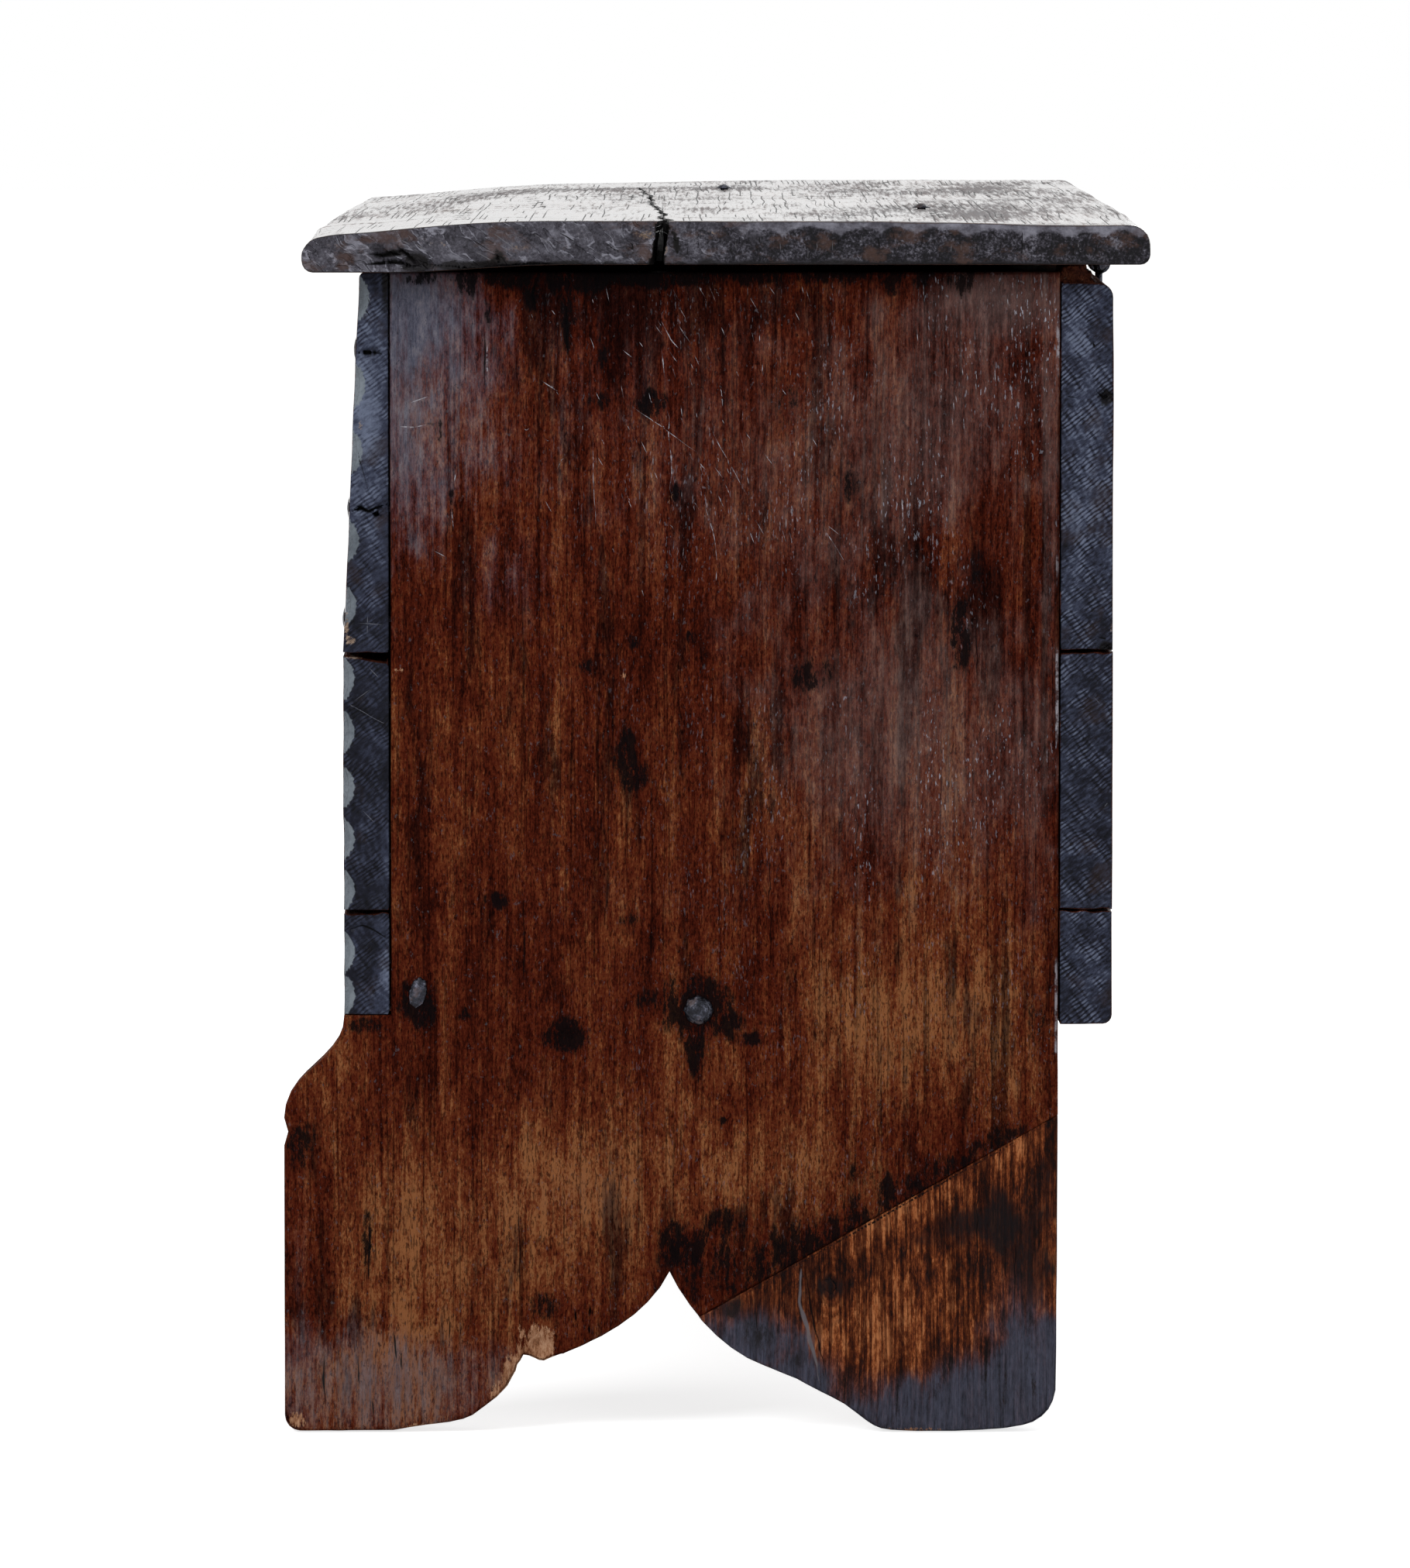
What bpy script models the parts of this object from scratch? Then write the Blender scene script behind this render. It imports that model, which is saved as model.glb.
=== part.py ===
"""A boarded coffer: planks nailed to two shaped end boards, a housed bottom and a strap-hinged lid.

Metres, +Z up, +X along the coffer, the front facing -Y. The origin is on the floor, in the middle
of the coffer's length and of its whole depth.
"""

import math

import bmesh
import bpy
from mathutils import Matrix, Vector

# Gaps
CLEARANCE = 0.0003  # between pieces that bear on each other

# Carcase
CARCASE_LENGTH = 1.000  # over the outer faces of the end boards
CARCASE_HEIGHT = 0.579  # floor to the top of the end boards and of the front
INNER_DEPTH = 0.333  # clear depth between the front and back planks
END_THICKNESS = 0.024
FRONT_THICKNESS = 0.0232
FRONT_TOP_THICKNESS = 0.0148  # the upper front plank is cleft, so it thins upwards
BACK_THICKNESS = 0.0264
BOTTOM_THICKNESS = 0.020
HOUSING_DEPTH = 0.008  # groove in the end boards that holds the bottom

# Planks, from the lowest up; the upper plank takes the height that is left
FRONT_BOTTOM_Z = 0.2094
FRONT_LOWER_HEIGHT = 0.052
FRONT_MIDDLE_HEIGHT = 0.128
FRONT_JOINT_GAP = 0.0006
FRONT_TOP_ROUND = 0.003
BACK_DROP = 0.0047  # the back hangs this much lower than the front
BACK_LOWER_HEIGHT = 0.057
BACK_MIDDLE_HEIGHT = 0.129
BACK_JOINT_GAP = 0.0006
BACK_SHORTFALL = 0.0055  # the back stops this far under the top of the end boards
BACK_TOP_ROUND = 0.007
BACK_BOTTOM_ROUND = 0.0045
BOTTOM_DROP = 0.0034  # underside of the bottom board, under the front's lower edge

# Gouge cuts along the two upright outer edges of the front
NICK_RADIUS = 0.0167
NICK_DEPTH = 0.0046
NICK_LENGTH = 0.030
NICK_PITCH = 0.0264  # on the lower and middle planks
NICK_START = 0.0096  # first cut above the plank's lower edge
WIDE_NICK_PITCH = 0.0382  # on the upper plank
WIDE_NICK_START = 0.0225
NICK_MARGIN = 0.007  # last cut below the plank's upper edge
NICK_SEGMENTS = 28

# Feet, cut in the lower part of the end boards
FOOT_PROJECTION = 0.0302  # front foot, forward of the front planks
SHOULDER_HEIGHT = 0.0515  # ogee from the front planks out to the foot
SHOULDER_PULL = 0.024  # how far each half of the ogee runs upright
QUIRK_HEIGHT = 0.014
QUIRK_DEPTH = 0.002
FRONT_TOE_ROUND = 0.008
REAR_TOE_ROUND = 0.016
ARCH_RISE = 0.0805
FRONT_FOOT_LENGTH = 0.088  # along the floor
REAR_FOOT_LENGTH = 0.083
APEX_SETBACK = 0.0032  # the cusp stands this far in front of the middle of the arch
FRONT_LOBE = (0.052, 0.0395)  # from the cusp, and from the floor, to where the curve turns back
REAR_LOBE = (0.0475, 0.0330)
CUSP_HALF_WIDTH = 0.0095  # spread of the two lobes close below the cusp
CUSP_DROP = 0.020
TOE_RUN = 0.014  # length of the soft turn from each foot into the arch
CURVE_STEPS = 7

# Scarfed repair of the right end's rear foot
SPLICE_REAR_Z = 0.159  # where the joint meets the rear edge
SPLICE_TOE_Z = 0.0575  # where it meets the arch

# Lid
LID_THICKNESS = 0.0217
LID_GAP = 0.0042  # lid's flat underside above the end boards
LID_END_OVERHANG = 0.020
LID_FRONT_OVERHANG = 0.0213
LID_BACK_OVERHANG = 0.0174
LID_FRONT_FALL = 0.0055  # the front of the top has cupped down
LID_NOSE_FALL = 0.0025  # the top goes on falling to the very edge
LID_NOSE_ROUND = 0.0095
LID_NOSE_UNDER_ROUND = 0.006
LID_BACK_ROUND = 0.0100
LID_BACK_UNDER_ROUND = 0.005
LID_BEND_START = 0.036  # behind the front edge, where the cupped front ends
LID_BEND_RUN = 0.085
LID_END_BEVEL = 0.0018

# Strap hinges
HINGE_SPACING = 0.500  # between the middles of the two hinges
STRAP_WIDTH = 0.032
STRAP_NECK_WIDTH = 0.016
STRAP_LEAF_WIDTH = 0.028
STRAP_THICKNESS = 0.0028
STRAP_LEAF_LENGTH = 0.046
LID_STRAP_LENGTH = 0.222
BACK_STRAP_LENGTH = 0.140
PIN_RADIUS = 0.0025
PIN_HEAD_RADIUS = 0.0040
PIN_HEAD_HEIGHT = 0.0018
CENTRE_KNUCKLE_WIDTH = 0.012
KNUCKLE_SIDE_GAP = 0.0004
EYE_STEPS = 14
LID_EYE_END = -195  # degrees, where the lid strap's rolled eye stops
BACK_EYE_END = 225
PIN_SEGMENTS = 20

# Forged nails
NAIL_HALF_WIDTH = 0.0022
NAIL_TIP_HALF_WIDTH = 0.0008
NAIL_BITE = 0.030  # depth in the second board
NAIL_HEAD_RADIUS = 0.0050
NAIL_HEAD_HEIGHT = 0.0022
PROUD_HEAD_RADIUS = 0.0056  # of the nails in the upper front plank, beaten flat
PROUD_HEAD_HEIGHT = 0.0012
END_NAIL_HEAD_RADIUS = 0.0077
END_NAIL_HEAD_HEIGHT = 0.0045
END_NAIL_SETBACKS = (0.0135, 0.1534)  # behind the front planks' inner face
END_NAIL_SCATTER = 0.0044  # above and below the middle of the bottom board
FRONT_NAIL_TOP_INSET = 0.0380  # under the upper plank's top edge
FRONT_NAIL_LOW_INSET = 0.0174  # over the upper plank's lower edge
FRONT_NAIL_DROP = 0.0225  # of its middle nail below the plank's middle
BACK_NAIL_TOP_INSET = 0.0557  # under the upper back plank's top edge
NAIL_EDGE_INSET = 0.026  # from the edges of the other planks
STRAP_NAIL_HEAD_RADIUS = 0.0050
STRAP_NAIL_HEAD_HEIGHT = 0.0028
STRAP_NAIL_BITE = 0.015
CLENCH_LENGTH = 0.004  # point of a through nail below its strap
# Forward of the pin; the second of each hinge is driven from above.
RIGHT_STRAP_NAILS = (0.040, 0.092, LID_STRAP_LENGTH - 0.037)
LEFT_STRAP_NAILS = (0.040, LID_STRAP_LENGTH - 0.029, 0.118)
BACK_STRAP_NAILS = (0.034, 0.110)  # below the pin
HOLE_OVERRUN = 0.002  # cutters start this far above the surface

# Places that follow from the sizes
FOOT_Y = -(FOOT_PROJECTION + FRONT_THICKNESS + INNER_DEPTH + BACK_THICKNESS + LID_BACK_OVERHANG) / 2
FRONT_Y = FOOT_Y + FOOT_PROJECTION
FRONT_INNER_Y = FRONT_Y + FRONT_THICKNESS
BACK_INNER_Y = FRONT_INNER_Y + INNER_DEPTH
BACK_Y = BACK_INNER_Y + BACK_THICKNESS
LID_FRONT_Y = FRONT_Y - LID_FRONT_OVERHANG
LID_BACK_Y = BACK_Y + LID_BACK_OVERHANG
END_FRONT_Y = FRONT_INNER_Y + CLEARANCE
END_REAR_Y = BACK_INNER_Y - CLEARANCE
END_OUTER_X = CARCASE_LENGTH / 2
END_MIDDLE_X = END_OUTER_X - END_THICKNESS / 2
FRONT_MIDDLE_Z = FRONT_BOTTOM_Z + FRONT_LOWER_HEIGHT
FRONT_UPPER_Z = FRONT_MIDDLE_Z + FRONT_MIDDLE_HEIGHT
BACK_BOTTOM_Z = FRONT_BOTTOM_Z - BACK_DROP
BACK_MIDDLE_Z = BACK_BOTTOM_Z + BACK_LOWER_HEIGHT
BACK_UPPER_Z = BACK_MIDDLE_Z + BACK_MIDDLE_HEIGHT
BACK_TOP_Z = CARCASE_HEIGHT - BACK_SHORTFALL
BOTTOM_Z = FRONT_BOTTOM_Z - BOTTOM_DROP
LID_UNDER_Z = CARCASE_HEIGHT + LID_GAP
LID_TOP_Z = LID_UNDER_Z + LID_THICKNESS
BORE_RADIUS = PIN_RADIUS + CLEARANCE
EYE_RADIUS = BORE_RADIUS + STRAP_THICKNESS
AXIS_Y = BACK_Y + CLEARANCE + STRAP_THICKNESS / 2
AXIS_Z = LID_UNDER_Z - CLEARANCE - EYE_RADIUS
EYE_REACH = EYE_RADIUS + 4 * CLEARANCE  # plates keep this far from the other strap's eyes
FRONT_LEAN = math.atan2(FRONT_THICKNESS - FRONT_TOP_THICKNESS, CARCASE_HEIGHT - FRONT_UPPER_Z)


# Drawing helpers


def bezier(start, first, second, end, steps=CURVE_STEPS):
    """Points of a cubic curve, without its start."""
    points = []
    for i in range(1, steps + 1):
        t = i / steps
        weights = ((1 - t) ** 3, 3 * t * (1 - t) ** 2, 3 * t * t * (1 - t), t**3)
        pulls = zip(start, first, second, end)
        points.append(tuple(sum(w * c for w, c in zip(weights, pull)) for pull in pulls))
    return points


def arc(centre, radius, start, end, steps):
    """Points of an arc between two angles in degrees, both ends included."""
    angles = [math.radians(start + (end - start) * i / steps) for i in range(steps + 1)]
    return [(centre[0] + radius * math.cos(a), centre[1] + radius * math.sin(a)) for a in angles]


def rounded(before, corner, after, radius, steps=4):
    """Points of the fillet that replaces a corner of an outline."""
    corner, inward, outward = Vector(corner), Vector(before), Vector(after)
    inward, outward = (inward - corner).normalized(), (outward - corner).normalized()
    half = inward.angle(outward) / 2
    centre = corner + (inward + outward).normalized() * radius / math.sin(half)
    first = corner + inward * radius / math.tan(half) - centre
    last = corner + outward * radius / math.tan(half) - centre
    turn = first.angle_signed(last)
    return [tuple(centre + Matrix.Rotation(-turn * i / steps, 2) @ first) for i in range(steps + 1)]


def prism(outline, low, high, axis):
    """Bmesh of an outline swept along X (y, z points), Y (x, z points) or Z (x, y points)."""
    order = {"X": (2, 0, 1), "Y": (0, 2, 1), "Z": (0, 1, 2)}[axis]
    shape = bmesh.new()
    spots = [(a, b, low) for a, b in outline]
    base = shape.faces.new([shape.verts.new([spot[i] for i in order]) for spot in spots])
    swept = bmesh.ops.extrude_face_region(shape, geom=[base])["geom"]
    step = Vector([(0, 0, high - low)[i] for i in order])
    bmesh.ops.translate(shape, vec=step, verts=[v for v in swept if isinstance(v, bmesh.types.BMVert)])
    bmesh.ops.recalc_face_normals(shape, faces=shape.faces)
    return shape


def rings(loops):
    """Bmesh of a closed body whose cross-sections are loops with as many points each."""
    shape = bmesh.new()
    made = [[shape.verts.new(point) for point in loop] for loop in loops]
    for lower, upper in zip(made, made[1:]):
        for i in range(len(lower)):
            shape.faces.new((lower[i - 1], lower[i], upper[i], upper[i - 1]))
    shape.faces.new(made[0])
    shape.faces.new(made[-1])
    bmesh.ops.recalc_face_normals(shape, faces=shape.faces)
    return shape


def finish(name, shape, material, smooth=False):
    """Turns a bmesh into a named object with its own material."""
    mesh = bpy.data.meshes.new(name)
    shape.to_mesh(mesh)
    shape.free()
    if smooth:
        mesh.shade_smooth()
        mesh.set_sharp_from_angle(angle=math.radians(35))
    made = bpy.data.objects.new(name, mesh)
    if material:
        mesh.materials.append(material)
    bpy.context.scene.collection.objects.link(made)
    return made


def cutter(name, shape):
    made = finish(name, shape, None)
    made.hide_render = True
    made.display_type = "WIRE"
    return made


def cut(board, tool):
    """Cuts a helper solid out of a board; all of a board's cuts are one Boolean."""
    name = board.name + "_cuts"
    group = bpy.data.collections.get(name)
    if group is None:
        group = bpy.data.collections.new(name)
        bpy.context.scene.collection.children.link(group)
        boolean = board.modifiers.new("cuts", "BOOLEAN")
        boolean.operation = "DIFFERENCE"
        boolean.operand_type = "COLLECTION"
        boolean.collection = group
    group.objects.link(tool)


def material(name, colour, roughness, metallic=0.0):
    made = bpy.data.materials.new(name)
    made.use_nodes = True
    shader = made.node_tree.nodes["Principled BSDF"]
    shader.inputs["Base Color"].default_value = (*colour, 1.0)
    shader.inputs["Roughness"].default_value = roughness
    shader.inputs["Metallic"].default_value = metallic
    return made


# Nails


def square(half, z):
    """Eight points round a square, so that it can meet an eight-sided head."""
    spots = ((1, 0), (1, 1), (0, 1), (-1, 1), (-1, 0), (-1, -1), (0, -1), (1, -1))
    return [(half * x, half * y, z) for x, y in spots]


def octagon(radius, z):
    turns = [math.radians(45 * i) for i in range(8)]
    return [(radius * math.cos(a), radius * math.sin(a), z) for a in turns]


def shank_half_width(depth, length):
    return NAIL_HALF_WIDTH + (NAIL_TIP_HALF_WIDTH - NAIL_HALF_WIDTH) * depth / length


def nail(name, place, length, boards, head_radius, head_height, sunk=0.0):
    """A rose-headed nail driven along -Z of its place, with its hole in each of the boards."""
    seat = CLEARANCE - sunk
    loops = (
        octagon(head_radius * 0.16, seat + head_height),
        octagon(head_radius * 0.62, seat + head_height * 0.72),
        octagon(head_radius, seat + head_height * 0.16),
        octagon(head_radius * 0.94, seat),
        square(NAIL_HALF_WIDTH, seat),
        square(NAIL_TIP_HALF_WIDTH, -length),
    )
    made = finish(name, rings(loops), material(name, (0.050, 0.045, 0.043), 0.55, 0.8))
    made.matrix_world = place
    end = length + CLEARANCE
    hole = cutter(
        name + "_hole",
        rings(
            (
                square(shank_half_width(-HOLE_OVERRUN, length) + CLEARANCE, HOLE_OVERRUN),
                square(shank_half_width(end, length) + CLEARANCE, -end),
            )
        ),
    )
    hole.matrix_world = place
    for board in boards:
        cut(board, hole)
    if sunk:
        bed = (octagon(head_radius + CLEARANCE, HOLE_OVERRUN), octagon(head_radius + CLEARANCE, -sunk))
        bed = cutter(name + "_bed", rings(bed))
        bed.matrix_world = place
        cut(boards[0], bed)
    return made


def facing(x, y, z, toward):
    """Place of a nail whose head looks along an axis, at a point of the surface it is driven into."""
    turns = {
        "-Y": Matrix.Rotation(math.pi / 2, 4, "X"),
        "+Y": Matrix.Rotation(-math.pi / 2, 4, "X"),
        "+X": Matrix.Rotation(math.pi / 2, 4, "Y"),
        "-X": Matrix.Rotation(-math.pi / 2, 4, "Y"),
        "-Z": Matrix.Rotation(math.pi, 4, "X"),
        "+Z": Matrix.Identity(4),
    }
    return Matrix.Translation((x, y, z)) @ turns[toward]


# End boards


ARCH_FRONT_Y = FOOT_Y + FRONT_FOOT_LENGTH
ARCH_REAR_Y = END_REAR_Y - REAR_FOOT_LENGTH
APEX_Y = (ARCH_FRONT_Y + ARCH_REAR_Y) / 2 - APEX_SETBACK


def cusp_side(toe_y, lobe, side):
    """Half of the cusped arch, from the cusp down to a foot's toe; side is -1 in front, 1 behind."""
    apex = (APEX_Y, ARCH_RISE)
    turn = (APEX_Y + side * lobe[0], lobe[1])
    below_cusp = (APEX_Y + side * CUSP_HALF_WIDTH, ARCH_RISE - CUSP_DROP)
    lobe_pull = (turn[0] - side * lobe[0] * 0.42, turn[1] + lobe[1] * 0.22)
    hollow = (toe_y - side * TOE_RUN, lobe[1] * 0.30)
    turn_pull = (turn[0] + side * lobe[0] * 0.40, turn[1] - lobe[1] * 0.25)
    hollow_pull = (hollow[0] - side * TOE_RUN * 0.8, hollow[1] * 1.9)
    toe_pull = (toe_y - side * TOE_RUN * 0.4, 0.0)
    return [
        apex,
        *bezier(apex, below_cusp, lobe_pull, turn),
        *bezier(turn, turn_pull, hollow_pull, hollow),
        *bezier(hollow, (hollow[0] + side * TOE_RUN * 0.45, hollow[1] * 0.35), toe_pull, (toe_y, 0.0), 4),
    ]


def end_outline():
    """Outline of an end board in (y, z): notch for the front, ogee shoulder, feet and cusped arch."""
    shoulder_top = (FRONT_Y, FRONT_BOTTOM_Z - CLEARANCE)
    shoulder_end = (FOOT_Y, shoulder_top[1] - SHOULDER_HEIGHT)
    pull_down = (FRONT_Y, shoulder_top[1] - SHOULDER_PULL)
    pull_up = (FOOT_Y, shoulder_end[1] + SHOULDER_PULL)
    quirk_end = (FOOT_Y, shoulder_end[1] - QUIRK_HEIGHT)
    quirk = (FOOT_Y + QUIRK_DEPTH, shoulder_end[1] - QUIRK_HEIGHT / 2)
    front_toe = (FOOT_Y, 0.0)
    rear_toe = (END_REAR_Y, 0.0)
    return [
        (END_REAR_Y, CARCASE_HEIGHT),
        (END_FRONT_Y, CARCASE_HEIGHT),
        (END_FRONT_Y, shoulder_top[1]),
        shoulder_top,
        *bezier(shoulder_top, pull_down, pull_up, shoulder_end, 10),
        quirk,
        quirk_end,
        *rounded(quirk_end, front_toe, (ARCH_FRONT_Y, 0.0), FRONT_TOE_ROUND),
        *reversed(cusp_side(ARCH_FRONT_Y, FRONT_LOBE, -1)),
        *cusp_side(ARCH_REAR_Y, REAR_LOBE, 1)[1:],
        *rounded((ARCH_REAR_Y, 0.0), rear_toe, (END_REAR_Y, CARCASE_HEIGHT), REAR_TOE_ROUND, 6),
    ]


def splice_line():
    """A point of the scarf joint and its upward normal, in (y, z)."""
    side = cusp_side(ARCH_REAR_Y, REAR_LOBE, 1)
    above, below = next((a, b) for a, b in zip(side, side[1:]) if b[1] < SPLICE_TOE_Z)
    share = (above[1] - SPLICE_TOE_Z) / (above[1] - below[1])
    toe = Vector((above[0] + (below[0] - above[0]) * share, SPLICE_TOE_Z))
    along = Vector((END_REAR_Y, SPLICE_REAR_Z)) - toe
    return toe, Vector((-along.y, along.x)).normalized()


def halve(shape, point, normal):
    """Keeps what lies on the normal's side of a plane across X, and closes the cut."""
    geometry = [*shape.verts, *shape.edges, *shape.faces]
    result = bmesh.ops.bisect_plane(
        shape,
        geom=geometry,
        plane_co=(0.0, *point),
        plane_no=(0.0, *normal),
        clear_inner=True,
    )
    loop = [e for e in result["geom_cut"] if isinstance(e, bmesh.types.BMEdge)]
    bmesh.ops.edgenet_fill(shape, edges=loop)
    bmesh.ops.recalc_face_normals(shape, faces=shape.faces)
    return shape


def end_body(side):
    """Uncut end board; side is 1 for the right end and -1 for the left."""
    outer = side * END_OUTER_X
    return prism(end_outline(), outer - side * END_THICKNESS, outer, "X")


def groove(side):
    """Housing for the bottom board in an end board's inner face."""
    inner = side * (END_OUTER_X - END_THICKNESS)
    outline = [
        (END_FRONT_Y - HOLE_OVERRUN, BOTTOM_Z - CLEARANCE),
        (END_REAR_Y + HOLE_OVERRUN, BOTTOM_Z - CLEARANCE),
        (END_REAR_Y + HOLE_OVERRUN, BOTTOM_Z + BOTTOM_THICKNESS + CLEARANCE),
        (END_FRONT_Y - HOLE_OVERRUN, BOTTOM_Z + BOTTOM_THICKNESS + CLEARANCE),
    ]
    trench = prism(outline, inner - side * HOLE_OVERRUN, inner + side * HOUSING_DEPTH, "X")
    return cutter(f"housing_{side}", trench)


def end_boards():
    """The two ends: the left is whole, and the right has its rear foot spliced on."""
    red = (0.115, 0.036, 0.014)
    toe, normal = splice_line()
    half_gap = normal * CLEARANCE / 2
    whole = finish("end_board_left", end_body(-1), material("end_board_left", red, 0.42))
    upper = halve(end_body(1), toe + half_gap, normal)
    repaired = finish("end_board_right", upper, material("end_board_right", red, 0.42))
    foot = halve(end_body(1), toe - half_gap, -normal)
    finish("foot_splice_right", foot, material("foot_splice_right", (0.085, 0.028, 0.012), 0.5))
    cut(whole, groove(-1))
    cut(repaired, groove(1))
    return {-1: whole, 1: repaired}


# Front, back and bottom


def front_face_y(z):
    """Front face of the planks: upright below, leaning back over the upper plank."""
    return FRONT_Y + max(0.0, z - FRONT_UPPER_Z) * math.tan(FRONT_LEAN)


def nicks(plank, low, high, start, pitch):
    """Gouge cuts across a plank's two upright outer edges."""
    count = int((high - low - start - NICK_MARGIN) / pitch) + 1
    for side in (-1, 1):
        outward = Vector((side, -1, 0)).normalized()
        along = Vector((side, 1, 0)).normalized()
        for i in range(count):
            z = low + start + pitch * i
            shape = bmesh.new()
            bmesh.ops.create_cone(
                shape,
                cap_ends=True,
                segments=NICK_SEGMENTS,
                radius1=NICK_RADIUS,
                radius2=NICK_RADIUS,
                depth=NICK_LENGTH,
            )
            tool = cutter(f"{plank.name}_nick_{side}_{i}", shape)
            centre = Vector((side * END_OUTER_X, front_face_y(z), z)) + outward * (NICK_RADIUS - NICK_DEPTH)
            turn = along.to_track_quat("Z", "Y").to_matrix().to_4x4()
            tool.matrix_world = Matrix.Translation(centre) @ turn
            cut(plank, tool)


def front_plank(name, low, high, top_round, colour):
    face_low, face_high = (front_face_y(low), low), (front_face_y(high), high)
    inner_low, inner_high = (FRONT_INNER_Y, low), (FRONT_INNER_Y, high)
    corner = rounded(face_low, face_high, inner_high, top_round) if top_round else [face_high]
    outline = [inner_low, face_low, *corner, inner_high]
    return finish(name, prism(outline, -END_OUTER_X, END_OUTER_X, "X"), material(name, colour, 0.5))


def front(ends):
    """Three planks in the notches of the ends, nailed on from the front."""
    gap = FRONT_JOINT_GAP / 2
    dark = (0.036, 0.019, 0.012)
    bands = {
        "lower": (FRONT_BOTTOM_Z, FRONT_MIDDLE_Z - gap, 0.0, NICK_START, NICK_PITCH),
        "middle": (FRONT_MIDDLE_Z + gap, FRONT_UPPER_Z - gap, 0.0, NICK_START, NICK_PITCH),
        "upper": (FRONT_UPPER_Z + gap, CARCASE_HEIGHT, FRONT_TOP_ROUND, WIDE_NICK_START, WIDE_NICK_PITCH),
    }
    for band, (low, high, top_round, start, pitch) in bands.items():
        plank = front_plank(f"front_plank_{band}", low, high, top_round, dark)
        nicks(plank, low, high, start, pitch)
        if band == "upper":
            middle = (low + high) / 2
            heights = (high - FRONT_NAIL_TOP_INSET, middle - FRONT_NAIL_DROP, low + FRONT_NAIL_LOW_INSET)
        elif band == "middle":
            heights = (high - NAIL_EDGE_INSET, low + NAIL_EDGE_INSET)
        else:
            heights = ((low + high) / 2,)
        lean = Matrix.Rotation(-FRONT_LEAN if band == "upper" else 0.0, 4, "X")
        head = (NAIL_HEAD_RADIUS, NAIL_HEAD_HEIGHT, NAIL_HEAD_HEIGHT)
        if band == "upper":
            head = (PROUD_HEAD_RADIUS, PROUD_HEAD_HEIGHT)
        for side, word in ((-1, "left"), (1, "right")):
            for number, z in enumerate(heights, 1):
                place = facing(side * END_MIDDLE_X, front_face_y(z), z, "-Y") @ lean
                length = FRONT_THICKNESS + NAIL_BITE
                nail(f"front_nail_{band}_{word}_{number}", place, length, (plank, ends[side]), *head)


def back_plank(name, low, high, bottom_round, top_round):
    inner_low, inner_high = (BACK_INNER_Y, low), (BACK_INNER_Y, high)
    outer_low, outer_high = (BACK_Y, low), (BACK_Y, high)
    outline = [inner_high, inner_low]
    outline += rounded(inner_low, outer_low, outer_high, bottom_round) if bottom_round else [outer_low]
    outline += rounded(outer_low, outer_high, inner_high, top_round, 6) if top_round else [outer_high]
    shape = prism(outline, -END_OUTER_X, END_OUTER_X, "X")
    return finish(name, shape, material(name, (0.028, 0.017, 0.012), 0.55))


def back(ends):
    """Three planks nailed to the rear edges of the ends."""
    gap = BACK_JOINT_GAP / 2
    bands = {
        "lower": (BACK_BOTTOM_Z, BACK_MIDDLE_Z - gap, BACK_BOTTOM_ROUND, 0.0),
        "middle": (BACK_MIDDLE_Z + gap, BACK_UPPER_Z - gap, 0.0, 0.0),
        "upper": (BACK_UPPER_Z + gap, BACK_TOP_Z, 0.0, BACK_TOP_ROUND),
    }
    planks = {}
    for band, (low, high, bottom_round, top_round) in bands.items():
        planks[band] = back_plank(f"back_plank_{band}", low, high, bottom_round, top_round)
        heights = (high - NAIL_EDGE_INSET, low + NAIL_EDGE_INSET)
        if band == "upper":
            heights = (high - BACK_NAIL_TOP_INSET, low + NAIL_EDGE_INSET)
        if band == "lower":
            heights = ((low + high) / 2,)
        head = (NAIL_HEAD_RADIUS, NAIL_HEAD_HEIGHT, NAIL_HEAD_HEIGHT)
        for side, word in ((-1, "left"), (1, "right")):
            for number, z in enumerate(heights, 1):
                place = facing(side * END_MIDDLE_X, BACK_Y, z, "+Y")
                length = BACK_THICKNESS + NAIL_BITE
                nail(f"back_nail_{band}_{word}_{number}", place, length, (planks[band], ends[side]), *head)
    return planks["upper"]


def bottom(ends):
    """One board housed in the ends, held by nails through them."""
    half_length = END_OUTER_X - END_THICKNESS + HOUSING_DEPTH - CLEARANCE
    low, high = BOTTOM_Z, BOTTOM_Z + BOTTOM_THICKNESS
    front_edge, rear_edge = FRONT_INNER_Y + CLEARANCE, BACK_INNER_Y - CLEARANCE
    outline = [(front_edge, low), (rear_edge, low), (rear_edge, high), (front_edge, high)]
    shape = prism(outline, -half_length, half_length, "X")
    board = finish("bottom_board", shape, material("bottom_board", (0.10, 0.055, 0.03), 0.7))
    scatter = (END_NAIL_SCATTER, -END_NAIL_SCATTER)
    for side, word, toward in ((-1, "left", "-X"), (1, "right", "+X")):
        for number, (setback, lift) in enumerate(zip(END_NAIL_SETBACKS, scatter), 1):
            spot = (side * END_OUTER_X, FRONT_INNER_Y + setback, (low + high) / 2 + lift)
            nail(
                f"end_nail_{word}_{number}",
                facing(*spot, toward),
                END_THICKNESS + NAIL_BITE,
                (ends[side], board),
                END_NAIL_HEAD_RADIUS,
                END_NAIL_HEAD_HEIGHT,
            )


# Lid and hinges


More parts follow.
